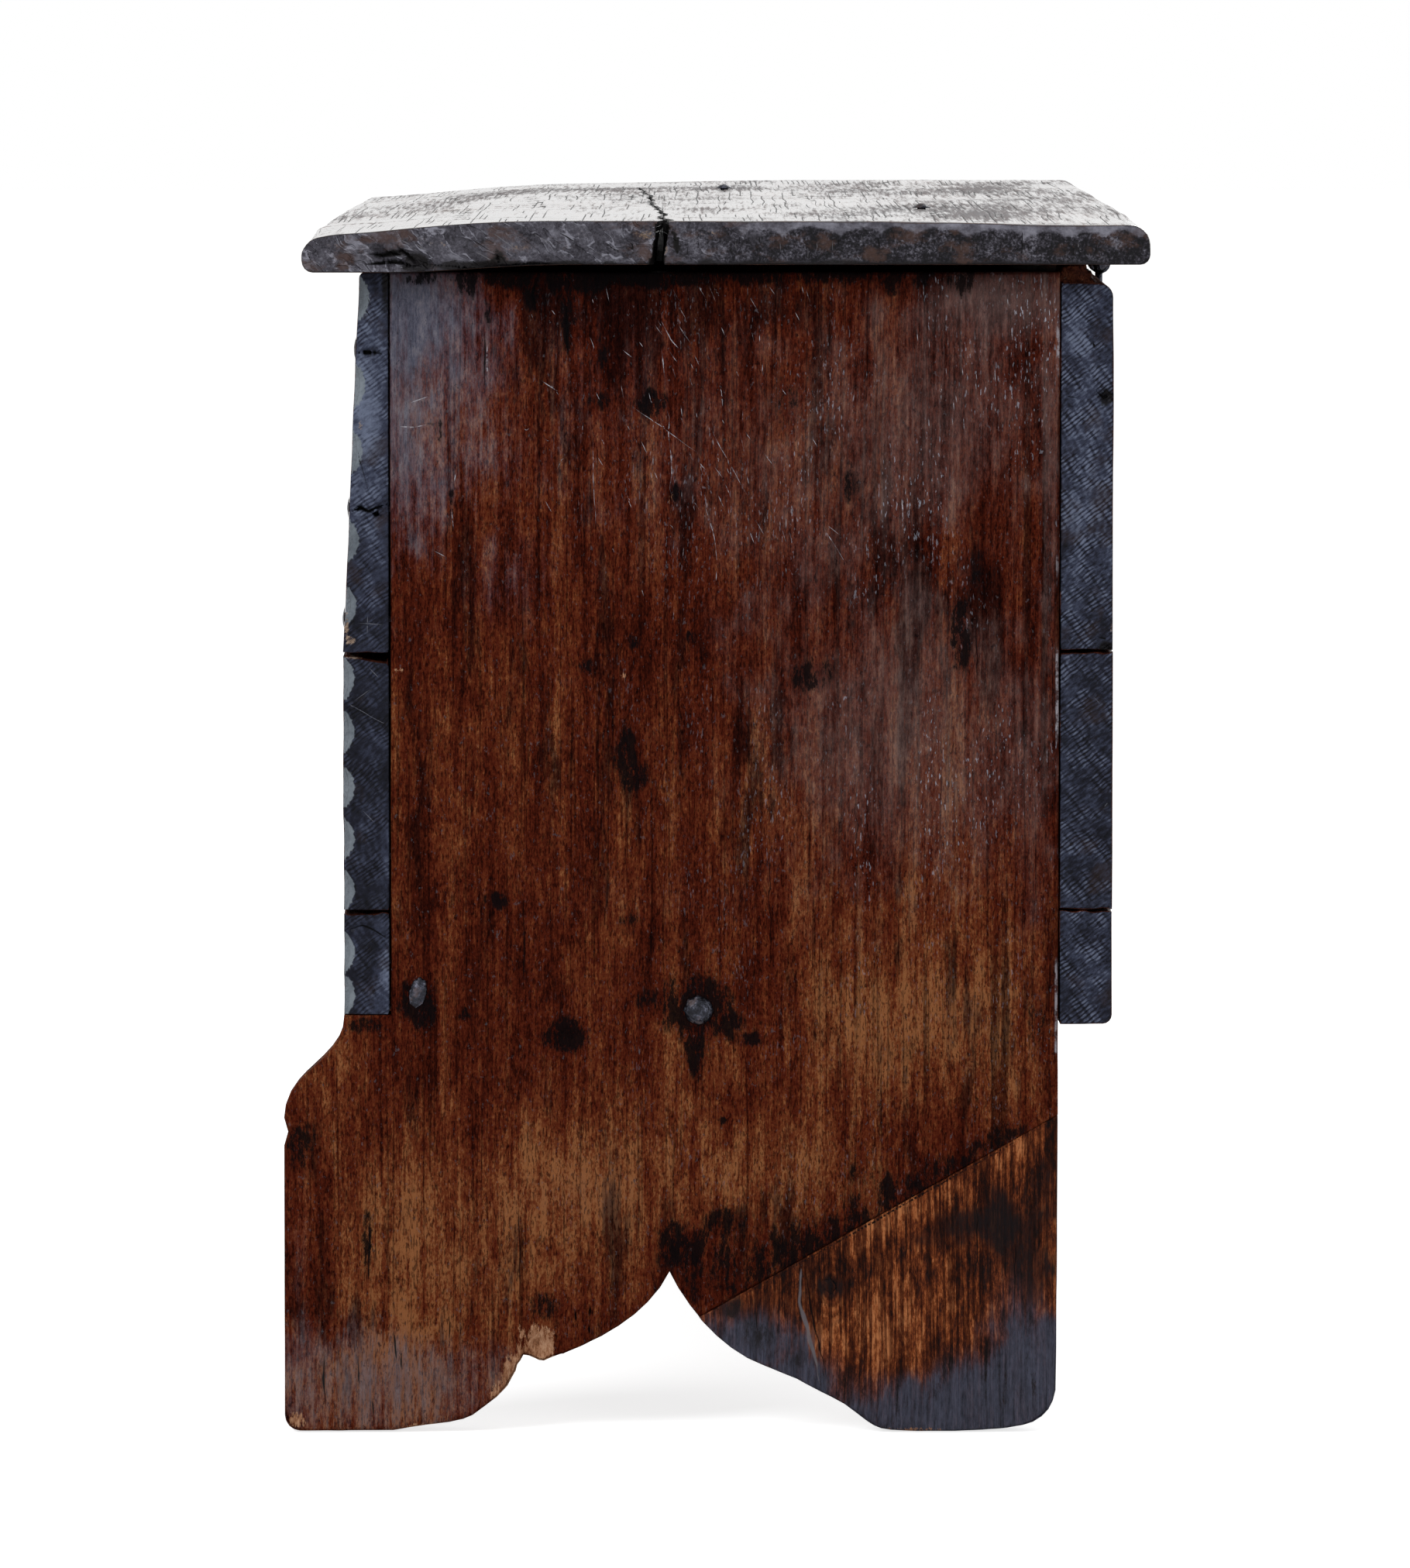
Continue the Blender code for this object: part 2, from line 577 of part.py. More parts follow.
def lid_outline():
    """Cross-section of the lid in (y, z): cupped front with a worn nose, flat middle, round back."""
    rest_z = CARCASE_HEIGHT + CLEARANCE
    bend_y = LID_FRONT_Y + LID_BEND_START
    under_bend = FRONT_INNER_Y + CLEARANCE
    nose_top_z = LID_TOP_Z - LID_FRONT_FALL
    flat_top = (bend_y + LID_BEND_RUN, LID_TOP_Z)
    flat_under = (under_bend + LID_BEND_RUN, LID_UNDER_Z)
    nose_top, nose_under = (LID_FRONT_Y, nose_top_z - LID_NOSE_FALL), (LID_FRONT_Y, rest_z)
    nose_height = nose_top[1] - nose_under[1]
    nose_round = min(LID_NOSE_ROUND, nose_height * 0.53)
    nose_under_round = min(LID_NOSE_UNDER_ROUND, nose_height * 0.36)
    back_top, back_under = (LID_BACK_Y, LID_TOP_Z), (LID_BACK_Y, LID_UNDER_Z)
    shelf, seat = (bend_y, nose_top_z), (under_bend, rest_z)
    third = LID_BEND_RUN / 3
    return [
        *rounded(flat_under, back_under, back_top, LID_BACK_UNDER_ROUND),
        *rounded(back_under, back_top, flat_top, LID_BACK_ROUND, 6),
        flat_top,
        *bezier(
            flat_top,
            (flat_top[0] - third, LID_TOP_Z),
            (bend_y + third, nose_top_z + third * 0.1),
            shelf,
            5,
        ),
        *rounded(shelf, nose_top, nose_under, nose_round, 6),
        *rounded(nose_top, nose_under, seat, nose_under_round),
        seat,
        *bezier(seat, (under_bend + third, rest_z), (flat_under[0] - third, LID_UNDER_Z), flat_under, 5),
    ]


def lid_board():
    half_length = END_OUTER_X + LID_END_OVERHANG
    plank = prism(lid_outline(), -half_length, half_length, "X")
    board = finish("lid", plank, material("lid", (0.045, 0.038, 0.036), 0.4))
    ends = board.modifiers.new("worn ends", "BEVEL")
    ends.width = LID_END_BEVEL
    ends.segments = 2
    ends.limit_method = "ANGLE"
    ends.angle_limit = math.radians(60)
    return board


def strap_plan(length, root):
    """Half outline of a strap from its root shoulder to its leaf-shaped tip, as (across, along)."""
    neck = length - STRAP_LEAF_LENGTH
    shoulder = (STRAP_WIDTH / 2, root)
    waist = (STRAP_NECK_WIDTH / 2, neck)
    leaf = (STRAP_LEAF_WIDTH / 2, neck + STRAP_LEAF_LENGTH * 0.38)
    tip = (0.0, length)
    swell = STRAP_LEAF_LENGTH * 0.16
    return [
        shoulder,
        waist,
        *bezier(waist, (waist[0], neck + swell), (leaf[0], leaf[1] - swell), leaf, 4),
        *bezier(leaf, (leaf[0], leaf[1] + swell), (tip[0] + swell / 2, length - swell), tip, 5),
    ]


def mirrored(half):
    """Closes a half outline whose last point lies on the middle line."""
    return [*half, *[(-across, along) for across, along in reversed(half[:-1])]]


def keep_inside(strap, plan):
    """Trims a swept strap to its plan."""
    trim = strap.modifiers.new("plan", "BOOLEAN")
    trim.operation = "INTERSECT"
    trim.object = cutter(strap.name + "_plan", plan)


def lid_strap(name, middle_x, iron):
    """Strap under the lid, its rear end rolled down round the pin as the centre knuckle."""
    top, under = AXIS_Z + EYE_RADIUS, AXIS_Z + BORE_RADIUS
    tip_y = AXIS_Y - LID_STRAP_LENGTH - HOLE_OVERRUN
    axis = (AXIS_Y, AXIS_Z)
    outline = [
        (tip_y, top),
        *arc(axis, EYE_RADIUS, 90, LID_EYE_END, EYE_STEPS),
        *arc(axis, BORE_RADIUS, LID_EYE_END, 90, EYE_STEPS),
        (tip_y, under),
    ]
    half_width = max(STRAP_WIDTH, STRAP_LEAF_WIDTH)
    strap = finish(name, prism(outline, middle_x - half_width, middle_x + half_width, "X"), iron, True)
    knuckle = CENTRE_KNUCKLE_WIDTH / 2
    top_reach = -EYE_REACH - HOLE_OVERRUN
    half = [(knuckle, top_reach), (knuckle, EYE_REACH), *strap_plan(LID_STRAP_LENGTH, EYE_REACH)]
    plan = [(middle_x + across, AXIS_Y - along) for across, along in mirrored(half)]
    keep_inside(strap, prism(plan, AXIS_Z - 2 * EYE_REACH, AXIS_Z + 2 * EYE_REACH, "Z"))
    return strap


def back_strap(name, middle_x, iron):
    """Strap down the back, its top rolled round the pin as the two outer knuckles."""
    half = STRAP_THICKNESS / 2
    foot_z = AXIS_Z - BACK_STRAP_LENGTH - HOLE_OVERRUN
    axis = (AXIS_Y, AXIS_Z)
    outer_turn = math.degrees(math.asin(half / EYE_RADIUS))
    inner_turn = math.degrees(math.asin(half / BORE_RADIUS))
    outline = [
        (AXIS_Y + half, foot_z),
        *arc(axis, EYE_RADIUS, -90 + outer_turn, BACK_EYE_END, EYE_STEPS),
        *arc(axis, BORE_RADIUS, BACK_EYE_END, -90 - inner_turn, EYE_STEPS),
        (AXIS_Y - half, foot_z),
    ]
    half_width = max(STRAP_WIDTH, STRAP_LEAF_WIDTH)
    strap = finish(name, prism(outline, middle_x - half_width, middle_x + half_width, "X"), iron, True)
    slot = CENTRE_KNUCKLE_WIDTH / 2 + KNUCKLE_SIDE_GAP
    top = -EYE_REACH - HOLE_OVERRUN
    right = [(STRAP_WIDTH / 2, top), *strap_plan(BACK_STRAP_LENGTH, EYE_REACH)]
    left = [(-across, along) for across, along in reversed(right[:-1])]
    notch = [(-slot, top), (-slot, EYE_REACH), (slot, EYE_REACH), (slot, top)]
    plan = [(middle_x + across, AXIS_Z - along) for across, along in [*right, *left, *notch]]
    keep_inside(strap, prism(plan, AXIS_Y - 2 * EYE_REACH, AXIS_Y + 2 * EYE_REACH, "Y"))
    return strap


def hinge_pin(name, middle_x, iron):
    """Riveted pin, turned about the hinge's axis."""
    reach = STRAP_WIDTH / 2 + CLEARANCE
    profile = [
        (0.0, reach + PIN_HEAD_HEIGHT),
        (PIN_HEAD_RADIUS * 0.7, reach + PIN_HEAD_HEIGHT),
        (PIN_HEAD_RADIUS, reach + PIN_HEAD_HEIGHT * 0.4),
        (PIN_HEAD_RADIUS, reach),
        (PIN_RADIUS, reach),
    ]
    profile += [(radius, -along) for radius, along in reversed(profile)]
    shape = bmesh.new()
    spots = [shape.verts.new((radius, 0.0, along)) for radius, along in profile]
    edges = [shape.edges.new(pair) for pair in zip(spots, spots[1:])]
    bmesh.ops.spin(
        shape,
        geom=[*spots, *edges],
        cent=(0, 0, 0),
        axis=(0, 0, 1),
        angle=2 * math.pi,
        steps=PIN_SEGMENTS,
        use_merge=True,
    )
    bmesh.ops.remove_doubles(shape, verts=shape.verts, dist=1e-6)
    bmesh.ops.recalc_face_normals(shape, faces=shape.faces)
    pin = finish(name, shape, iron, True)
    pin.matrix_world = Matrix.Translation((middle_x, AXIS_Y, AXIS_Z)) @ Matrix.Rotation(math.pi / 2, 4, "Y")
    return pin


def hinges(lid, back_upper):
    """Two strap hinges; returns the pieces that swing with the lid."""
    swinging = []
    strap_under = LID_UNDER_Z - CLEARANCE - STRAP_THICKNESS
    blind = STRAP_THICKNESS + CLEARANCE + STRAP_NAIL_BITE
    through = LID_THICKNESS + CLEARANCE + STRAP_THICKNESS + CLENCH_LENGTH
    head = (STRAP_NAIL_HEAD_RADIUS, STRAP_NAIL_HEAD_HEIGHT)
    for side, word, setbacks in ((-1, "left", LEFT_STRAP_NAILS), (1, "right", RIGHT_STRAP_NAILS)):
        x = side * HINGE_SPACING / 2
        parts = ("lid_strap", "back_strap", "pin")
        irons = [material(f"hinge_{part}_{word}", (0.045, 0.040, 0.038), 0.5, 0.85) for part in parts]
        strap = lid_strap(f"hinge_lid_strap_{word}", x, irons[0])
        leaf = back_strap(f"hinge_back_strap_{word}", x, irons[1])
        hinge_pin(f"hinge_pin_{word}", x, irons[2])
        swinging.append(strap)
        near, driven, far = (AXIS_Y - setback for setback in setbacks)
        for number, y in enumerate((near, far), 1):
            place = facing(x, y, strap_under, "-Z")
            swinging.append(nail(f"lid_strap_nail_{word}_{number}", place, blind, (strap, lid), *head))
        place = facing(x, driven, LID_TOP_Z, "+Z")
        swinging.append(nail(f"lid_through_nail_{word}", place, through, (lid, strap), *head))
        for number, drop in enumerate(BACK_STRAP_NAILS, 1):
            surface = BACK_Y + CLEARANCE + STRAP_THICKNESS
            place = facing(x, surface, AXIS_Z - drop, "+Y")
            nail(f"back_strap_nail_{word}_{number}", place, blind, (leaf, back_upper), *head)
    return swinging


def main():
    for old in list(bpy.data.objects):
        bpy.data.objects.remove(old)
    ends = end_boards()
    front(ends)
    back_upper = back(ends)
    bottom(ends)
    lid = lid_board()
    axis = bpy.data.objects.new("lid_axis", None)
    axis.location = (0.0, AXIS_Y, AXIS_Z)
    bpy.context.scene.collection.objects.link(axis)
    bpy.context.view_layer.update()
    for piece in [lid, *hinges(lid, back_upper)]:
        piece.parent = axis
        piece.matrix_parent_inverse = axis.matrix_world.inverted()


main()
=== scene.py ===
import itertools
import math

import bmesh
import bpy
import numpy as np
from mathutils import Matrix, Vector, kdtree
from mathutils.geometry import delaunay_2d_cdt


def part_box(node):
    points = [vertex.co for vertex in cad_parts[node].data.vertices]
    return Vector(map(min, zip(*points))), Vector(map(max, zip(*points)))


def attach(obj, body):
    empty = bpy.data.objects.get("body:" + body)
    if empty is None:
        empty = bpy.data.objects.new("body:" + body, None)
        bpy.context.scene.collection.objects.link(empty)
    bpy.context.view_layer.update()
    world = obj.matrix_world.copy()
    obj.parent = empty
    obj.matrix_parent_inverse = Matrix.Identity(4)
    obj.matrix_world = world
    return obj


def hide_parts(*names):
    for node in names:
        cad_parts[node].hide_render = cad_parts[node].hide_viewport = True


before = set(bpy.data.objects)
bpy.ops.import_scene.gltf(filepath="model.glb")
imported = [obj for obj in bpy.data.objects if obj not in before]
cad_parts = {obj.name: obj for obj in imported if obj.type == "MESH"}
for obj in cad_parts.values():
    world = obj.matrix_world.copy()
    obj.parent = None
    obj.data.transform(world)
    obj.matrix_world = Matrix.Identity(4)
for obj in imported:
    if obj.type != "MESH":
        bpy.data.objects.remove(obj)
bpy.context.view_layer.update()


# Right end board: one wide plank of close red-brown wood, its grain upright, sawn to a notch for
# the front, an ogee shoulder and half a cusped arch. It is waxed, bruised, stained by its nails and
# worn at the edges, and a bite is broken out of the arch beside the front foot.

MM = 0.001
OFF_CENTRE = 7.3
JUST_INSIDE = 497 * MM


def lumps(points, size, seed):
    """Smooth random heights from -1 to 1, in lumps of a size in mm, or of one size per axis."""
    table = np.random.default_rng(seed).uniform(-1, 1, (32, 32, 32))
    cell = points / (np.asarray(size) * MM) + OFF_CENTRE
    low = np.floor(cell).astype(int)
    share = cell - low
    share = share * share * (3 - 2 * share)
    total = np.zeros(len(points))
    for corner in itertools.product((0, 1), repeat=3):
        weight = np.prod(np.where(corner, share, 1 - share), axis=1)
        i, j, k = ((low + corner) % 32).T
        total += weight * table[i, j, k]
    return total


def step_up(value, low, high):
    """0 below low, 1 above high, smooth between."""
    share = np.clip((value - low) / (high - low), 0, 1)
    return share * share * (3 - 2 * share)


def section(node, x):
    """Outline of a CAD node where a plane across X cuts it, anticlockwise in (y, z)."""
    solid = bmesh.new()
    solid.from_mesh(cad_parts[node].data)
    bmesh.ops.remove_doubles(solid, verts=solid.verts, dist=1e-6)
    parts = [*solid.verts, *solid.edges, *solid.faces]
    bmesh.ops.bisect_plane(
        solid, geom=parts, plane_co=(x, 0, 0), plane_no=(1, 0, 0),
        clear_inner=True, clear_outer=True,
    )
    bmesh.ops.remove_doubles(solid, verts=solid.verts, dist=1e-6)
    longest, around = [], 0
    waiting = dict.fromkeys(solid.verts)
    while waiting:
        loop = [next(iter(waiting))]
        del waiting[loop[0]]
        while True:
            ahead = [e.other_vert(loop[-1]) for e in loop[-1].link_edges]
            ahead = [v for v in ahead if v in waiting]
            if not ahead:
                break
            loop.append(ahead[0])
            del waiting[ahead[0]]
        length = sum((a.co - b.co).length for a, b in zip(loop, loop[1:]))
        if length > around:
            longest, around = [(v.co.y, v.co.z) for v in loop], length
    solid.free()
    outline = np.array(longest)
    y, z = outline.T
    return outline if np.sum(y * np.roll(z, -1) - np.roll(y, -1) * z) > 0 else outline[::-1]


def finer(outline, step):
    """An outline with points no further apart than a step, and none closer than a fifth of it."""
    points = []
    for start, end in zip(outline, np.roll(outline, -1, 0)):
        count = math.ceil(np.linalg.norm(end - start) / step)
        points += [start + (end - start) * i / count for i in range(count)]
    kept = [points[0]]
    for point in points[1:]:
        if min(np.linalg.norm(point - other) for other in (kept[-1], kept[0])) > step / 5:
            kept.append(point)
    return np.array(kept)


def edge_distance(outline, points):
    """Distance of each point from an outline."""
    along = np.roll(outline, -1, 0) - outline
    found = np.empty(len(points))
    for low in range(0, len(points), 2000):
        offset = points[low : low + 2000, None] - outline
        share = np.clip((offset * along).sum(2) / (along * along).sum(1), 0, 1)
        found[low : low + 2000] = np.linalg.norm(offset - share[..., None] * along, axis=2).min(1)
    return found


def inside(outline, points):
    """Whether each point lies within an outline."""
    y, z = points.T
    within = np.zeros(len(points), bool)
    for (y0, z0), (y1, z1) in zip(outline, np.roll(outline, -1, 0)):
        if z0 != z1:
            within ^= ((z0 > z) != (z1 > z)) & (y < (y1 - y0) * (z - z0) / (z1 - z0) + y0)
    return within


def cut(path, width, depth, look, wander, seed):
    """A narrow cut in an end face, in mm: its bed, its half-widths, its depths and its look."""
    path = np.array(path, float) * MM
    length = np.concatenate([[0], np.cumsum(np.linalg.norm(np.diff(path, axis=0), axis=1))])
    steps = np.linspace(0, length[-1], max(4, math.ceil(length[-1] / (1.8 * MM))))
    bed = np.column_stack([np.interp(steps, length, path[:, i]) for i in (0, 1)])
    place = np.column_stack([np.full(len(bed), seed * 0.37), bed])
    bed = bed + np.column_stack([lumps(place, 6, seed), lumps(place, 9, seed + 50)]) * wander * MM
    taper = np.sin(np.linspace(0.12, math.pi - 0.12, len(bed))) ** 0.6
    taper = taper * (1 + 0.35 * lumps(place, 4, seed + 90))
    return bed, width * MM * taper, depth * MM * taper, look


def spread(points, y, z, wide, high):
    """Square of how far points lie from a spot in the end face, in half-sizes of the spot."""
    across, up = (points[:, 1] - y * MM) / (wide * MM), (points[:, 2] - z * MM) / (high * MM)
    return across**2 + up**2


def cracks(rows):
    """Cuts that look like cracks, each (path, half-width, depth, wander, seed)."""
    return [cut(path, wide, deep, "crack", wander, seed) for path, wide, deep, wander, seed in rows]


EDGE_CLEAR, BANK_CLEAR, ROW_RISE = 0.6 * MM, 1.2 * MM, 0.87


def dress(mesh, name, suffix, body, replaced=True):
    """Puts a mesh in the scene as a piece on a body, and in place of the CAD node of its name."""
    piece = bpy.data.objects.new(name + suffix, mesh)
    bpy.context.scene.collection.objects.link(piece)
    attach(piece, body)
    if replaced:
        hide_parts(name)
    return piece


class Board:
    """A board as a fine mesh: an outline in (y, z), carried along X from station to station."""

    def __init__(self, outline, stations, spacing, rings, cuts=(), cut_face=1):
        self.outline = outline
        edge = np.roll(outline, -1, 0) - outline
        side = np.stack([edge[:, 1], -edge[:, 0]], 1) / np.linalg.norm(edge, axis=1)[:, None]
        turn = side + np.roll(side, 1, 0)
        self.outward = turn / np.linalg.norm(turn, axis=1)[:, None]
        flat, depths, marks = self.fill(spacing, rings, cuts)
        count, size, first, last = len(outline), len(flat), stations[0], stations[-1]
        caps = [np.column_stack([np.full(size, x), flat]) for x in (first, last)]
        inner = [np.column_stack([np.full(count, x), outline]) for x in stations[1:-1]]
        self.points = np.vstack([*caps, *inner])
        total = len(self.points)
        self.facing = np.repeat([-1, 1, 0], [size, size, total - 2 * size])
        starts = 2 * size + count * np.arange(len(inner))
        self.rows = [self.rim, *(start + np.arange(count) for start in starts), self.rim + size]
        self.sideways = np.zeros((total, 2))
        for row in self.rows:
            self.sideways[row] = self.outward
        self.depth = np.zeros(total)
        self.depth[: 2 * size] = np.tile(edge_distance(outline, flat), 2)
        self.end = np.minimum(self.points[:, 0] - first, last - self.points[:, 0])
        self.size, self.looks = size, {}
        cut_end = slice(size, 2 * size) if cut_face > 0 else slice(size)
        self.points[cut_end, 0] -= cut_face * depths
        for look, values in marks.items():
            self.looks[look] = np.zeros(total)
            self.looks[look][cut_end] = values

    def fill(self, spacing, rings, cuts):
        """Triangles of an end face: rows along its edge, an even field and the banks of cuts."""
        outline = self.outline
        low, high = outline.min(0), outline.max(0)
        across = np.arange(low[0], high[0], spacing)
        up = np.arange(low[1], high[1], spacing * ROW_RISE)
        field = np.array([(y + (i % 2) * spacing / 2, z) for i, z in enumerate(up) for y in across])
        field = field[inside(outline, field)]
        field = field[edge_distance(outline, field) > rings[-1] + spacing * 0.4]
        lines, drops, shares, owners = np.empty((0, 2)), [], [], []
        for bed, width, depth, look in cuts:
            ahead = np.gradient(bed, axis=0)
            normal = np.stack([ahead[:, 1], -ahead[:, 0]], 1)
            normal = normal / np.linalg.norm(normal, axis=1)[:, None] * width[:, None]
            lines = np.vstack([lines, bed, bed + normal, bed - normal])
            drops += [*depth, *np.zeros(2 * len(bed))]
            shares += [*(depth / depth.max()), *np.zeros(2 * len(bed))]
            owners += [look] * len(bed) + [""] * (2 * len(bed))
        drops, shares, owners = np.array(drops), np.array(shares), np.array(owners, dtype=object)
        if cuts:
            keep = inside(outline, lines)
            keep[keep] = edge_distance(outline, lines[keep]) > EDGE_CLEAR
            lines, drops, shares, owners = lines[keep], drops[keep], shares[keep], owners[keep]
            near = kdtree.KDTree(len(lines))
            for i, (y, z) in enumerate(lines):
                near.insert((y, z, 0), i)
            near.balance()
            field = field[[near.find((y, z, 0))[2] > BANK_CLEAR for y, z in field]]
        rows = []
        for ring in rings:
            row = outline - ring * self.outward
            keep = inside(outline, row)
            keep[keep] = edge_distance(outline, row[keep]) > ring * 0.9
            rows.append(row[keep])
        points = np.vstack([outline, *rows, lines, field])
        count = len(outline)
        links = [(i, (i + 1) % count) for i in range(count)]
        corners = [Vector(point) for point in points]
        flat, _, faces, origins, _, _ = delaunay_2d_cdt(corners, links, [], 1, 1e-8)
        self.triangles = [tuple(f) for f in faces]
        self.rim = np.zeros(count, int)
        begin = count + sum(len(row) for row in rows)
        depths = np.zeros(len(flat))
        marks = {look: np.zeros(len(flat)) for look in sorted({c[3] for c in cuts})}
        for index, sources in enumerate(origins):
            for source in sources:
                if source < count:
                    self.rim[source] = index
                elif begin <= source < begin + len(lines) and owners[source - begin]:
                    depths[index] = drops[source - begin]
                    marks[owners[source - begin]][index] = shares[source - begin]
        return np.array([tuple(v) for v in flat]), depths, marks

    def push(self, amount):
        """Moves the points out of the surface by an amount each."""
        way = np.column_stack([self.facing, self.sideways])
        length = np.maximum(np.linalg.norm(way, axis=1), 1e-9)
        self.points += way * (amount / length)[:, None]

    def soften(self, radius):
        """Rounds the edges of both end faces."""
        def fall(distance):
            return radius * (1 - np.cos(math.pi / 4 * np.clip(1 - distance / radius, 0, 1)))

        walls = np.abs(self.sideways).sum(1) > 0
        self.points[:, 0] -= self.facing * fall(self.depth)
        self.points[:, 1:] -= np.where(walls, fall(self.end), 0)[:, None] * self.sideways

    def blots(self, look, spots, seed, ragged=0.5):
        """Adds to a look soft blots, each (y, z, half-width, half-height, strength), in mm."""
        ground = self.looks.setdefault(look, np.zeros(len(self.points)))
        uneven = 1 + ragged * lumps(self.points, (9, 9, 14), seed)
        uneven += ragged * 0.6 * lumps(self.points, (4, 4, 7), seed + 1)
        for *spot, strength in spots:
            ground += strength * np.exp(-spread(self.points, *spot) * np.clip(uneven, 0.2, 3))

    def build(self, name, wood, slot, body="carcase", replaced=True):
        """Makes the piece, which stands for the CAD node of the same name."""
        size = self.size
        faces = [(a + size, b + size, c + size) for a, b, c in self.triangles]
        faces += [(c, b, a) for a, b, c in self.triangles]
        for low, high in zip(self.rows, self.rows[1:]):
            after_low, after_high = np.roll(low, -1), np.roll(high, -1)
            faces += list(zip(low.tolist(), after_low.tolist(), after_high.tolist(), high.tolist()))
        mesh = bpy.data.meshes.new(name)
        mesh.from_pydata(self.points.tolist(), [], faces)
        for look, values in self.looks.items():
            marked = mesh.attributes.new(look, "FLOAT", "POINT").data
            marked.foreach_set("value", np.clip(values, 0, 1))
        mesh.shade_smooth()
        mesh.materials.append(wood)
        return dress(mesh, name, "_dressed", body, replaced)


class Tone:
    """A shader socket that takes part in sums, so that a mask reads as a formula."""

    def __init__(self, tree, socket=None):
        self.tree, self.socket = tree, socket

    def node(self, kind, settings=None, inputs=None, output=0):
        """Adds a node: its settings first, then the values or links of its sockets."""
        made = self.tree.nodes.new("ShaderNode" + kind)
        for key, value in (settings or {}).items():
            if key == "stops":
                for _ in value[2:]:
                    made.color_ramp.elements.new(0.5)
                for element, (place, colour) in zip(made.color_ramp.elements, value):
                    element.position = place
                    element.color = (*colour, 1)
            else:
                setattr(made, key, value)
        for key, value in (inputs or {}).items():
            if isinstance(value, Tone):
                self.tree.links.new(value.socket, made.inputs[key])
            else:
                made.inputs[key].default_value = value
        return Tone(self.tree, made.outputs[output])

    def maths(self, operation, *values):
        return self.node("Math", {"operation": operation}, dict(enumerate(values)))

    def __add__(self, other):
        return self.maths("ADD", self, other)

    def __sub__(self, other):
        return self.maths("SUBTRACT", self, other)

    def __rsub__(self, other):
        return self.maths("SUBTRACT", other, self)

    def __mul__(self, other):
        return self.maths("MULTIPLY", self, other)

    def __pow__(self, other):
        return self.maths("POWER", self, other)

    __radd__ = __add__
    __rmul__ = __mul__

    def rise(self, low, high):
        """0 below low, 1 above high, smooth between."""
        ends = {"Value": self, "From Min": low, "From Max": high}
        return self.node("MapRange", {"interpolation_type": "SMOOTHSTEP"}, ends)

    def swing(self, amount):
        """This noise about 0, as far to each side as half an amount."""
        return (self - 0.5) * amount

    def ridge(self, low, high):
        """1 where this noise is at its middle, 0 away from there, so that it draws lines."""
        off = self - 0.5
        return 1 - off.maths("ABSOLUTE", off).rise(low, high)

    def wave(self, pitch):
        """A wave from 0 to 1 along this length."""
        return self.maths("SINE", self * (2 * math.pi / pitch)) * 0.5 + 0.5

    def ramp(self, *stops):
        return self.node("ValToRGB", {"stops": stops}, {0: self})

    def over(self, under, colour):
        """A colour laid over another as thickly as this mask."""
        under, colour = [c if isinstance(c, Tone) else (*c, 1) for c in (under, colour)]
        mix = {"data_type": "RGBA", "clamp_factor": True}
        return self.node("Mix", mix, {0: self, 6: under, 7: colour}, 2)

    def shade(self, colour, tint):
        """A colour multiplied by a tint as far as this mask says."""
        mix = {"data_type": "RGBA", "blend_type": "MULTIPLY", "clamp_factor": True}
        return self.node("Mix", mix, {0: self, 6: colour, 7: (*tint, 1)}, 2)

    def noise(self, scale, detail=2.0, roughness=0.5):
        """Noise at this place, with its own scale along each axis, in lumps per metre."""
        place = self.node("VectorMath", {"operation": "MULTIPLY"}, {0: self, 1: scale})
        inputs = {"Vector": place, "Scale": 1.0, "Detail": detail, "Roughness": roughness}
        return self.node("TexNoise", {}, inputs)

    def warp(self, scale, amount):
        """This place swayed by noise, by an amount along each axis, so that its marks waver."""
        cell = self.node("VectorMath", {"operation": "MULTIPLY"}, {0: self, 1: scale})
        sway = self.node("TexNoise", {}, {"Vector": cell, "Scale": 1.0, "Detail": 2.0}, 1)
        sway = self.node("VectorMath", {"operation": "SUBTRACT"}, {0: sway, 1: (0.5, 0.5, 0.5)})
        return self.node("VectorMath", {"operation": "MULTIPLY_ADD"}, {0: sway, 1: amount, 2: self})

    def look(self, name):
        return self.node("Attribute", {"attribute_name": name}, None, 2)

    def end(self, kind="Material"):
        """Makes this shader the one that its tree ends in."""
        output = self.tree.nodes.new("ShaderNodeOutput" + kind)
        self.tree.links.new(self.socket, output.inputs["Surface"])


def finish(name):
    """A new material: itself, and the place on the surface that its nodes start from."""
    material = bpy.data.materials.new(name)
    material.use_nodes = True
    material.node_tree.nodes.clear()
    start = Tone(material.node_tree)
    return material, start.node("TexCoord", {}, None, 3)


def surface(material, colour, roughness, height, relief, shine, coat=0.0, haze=0.35, metal=0.0):
    """Ends a material in one shader. Relief is the depth in metres of a full step of height."""
    start = Tone(material.node_tree)
    bump = start.node("Bump", {}, {"Strength": 1.0, "Distance": relief, "Height": height})
    inputs = {"Base Color": colour, "Roughness": roughness, "Metallic": metal, "Normal": bump}
    inputs.update({"Specular IOR Level": shine, "Coat Weight": coat, "Coat Roughness": haze})
    start.node("BsdfPrincipled", {}, inputs).end()


def fibres(place, along):
    """Masks of wood whose grain runs along an axis: streaks, flecks, pores, mottle and cloud."""
    def stretched(across, length):
        return tuple(length if axis == along else across for axis in range(3))

    streak = place.noise(stretched(430, 16), 4, 0.65)
    fleck = place.noise(stretched(640, 200), 3, 0.7)
    pore = place.noise(stretched(1150, 290), 2)
    mottle = place.noise(stretched(160, 58), 6, 0.88)
    cloud = place.noise(stretched(19, 9), 3, 0.55)
    return streak, fleck, pore, mottle, cloud


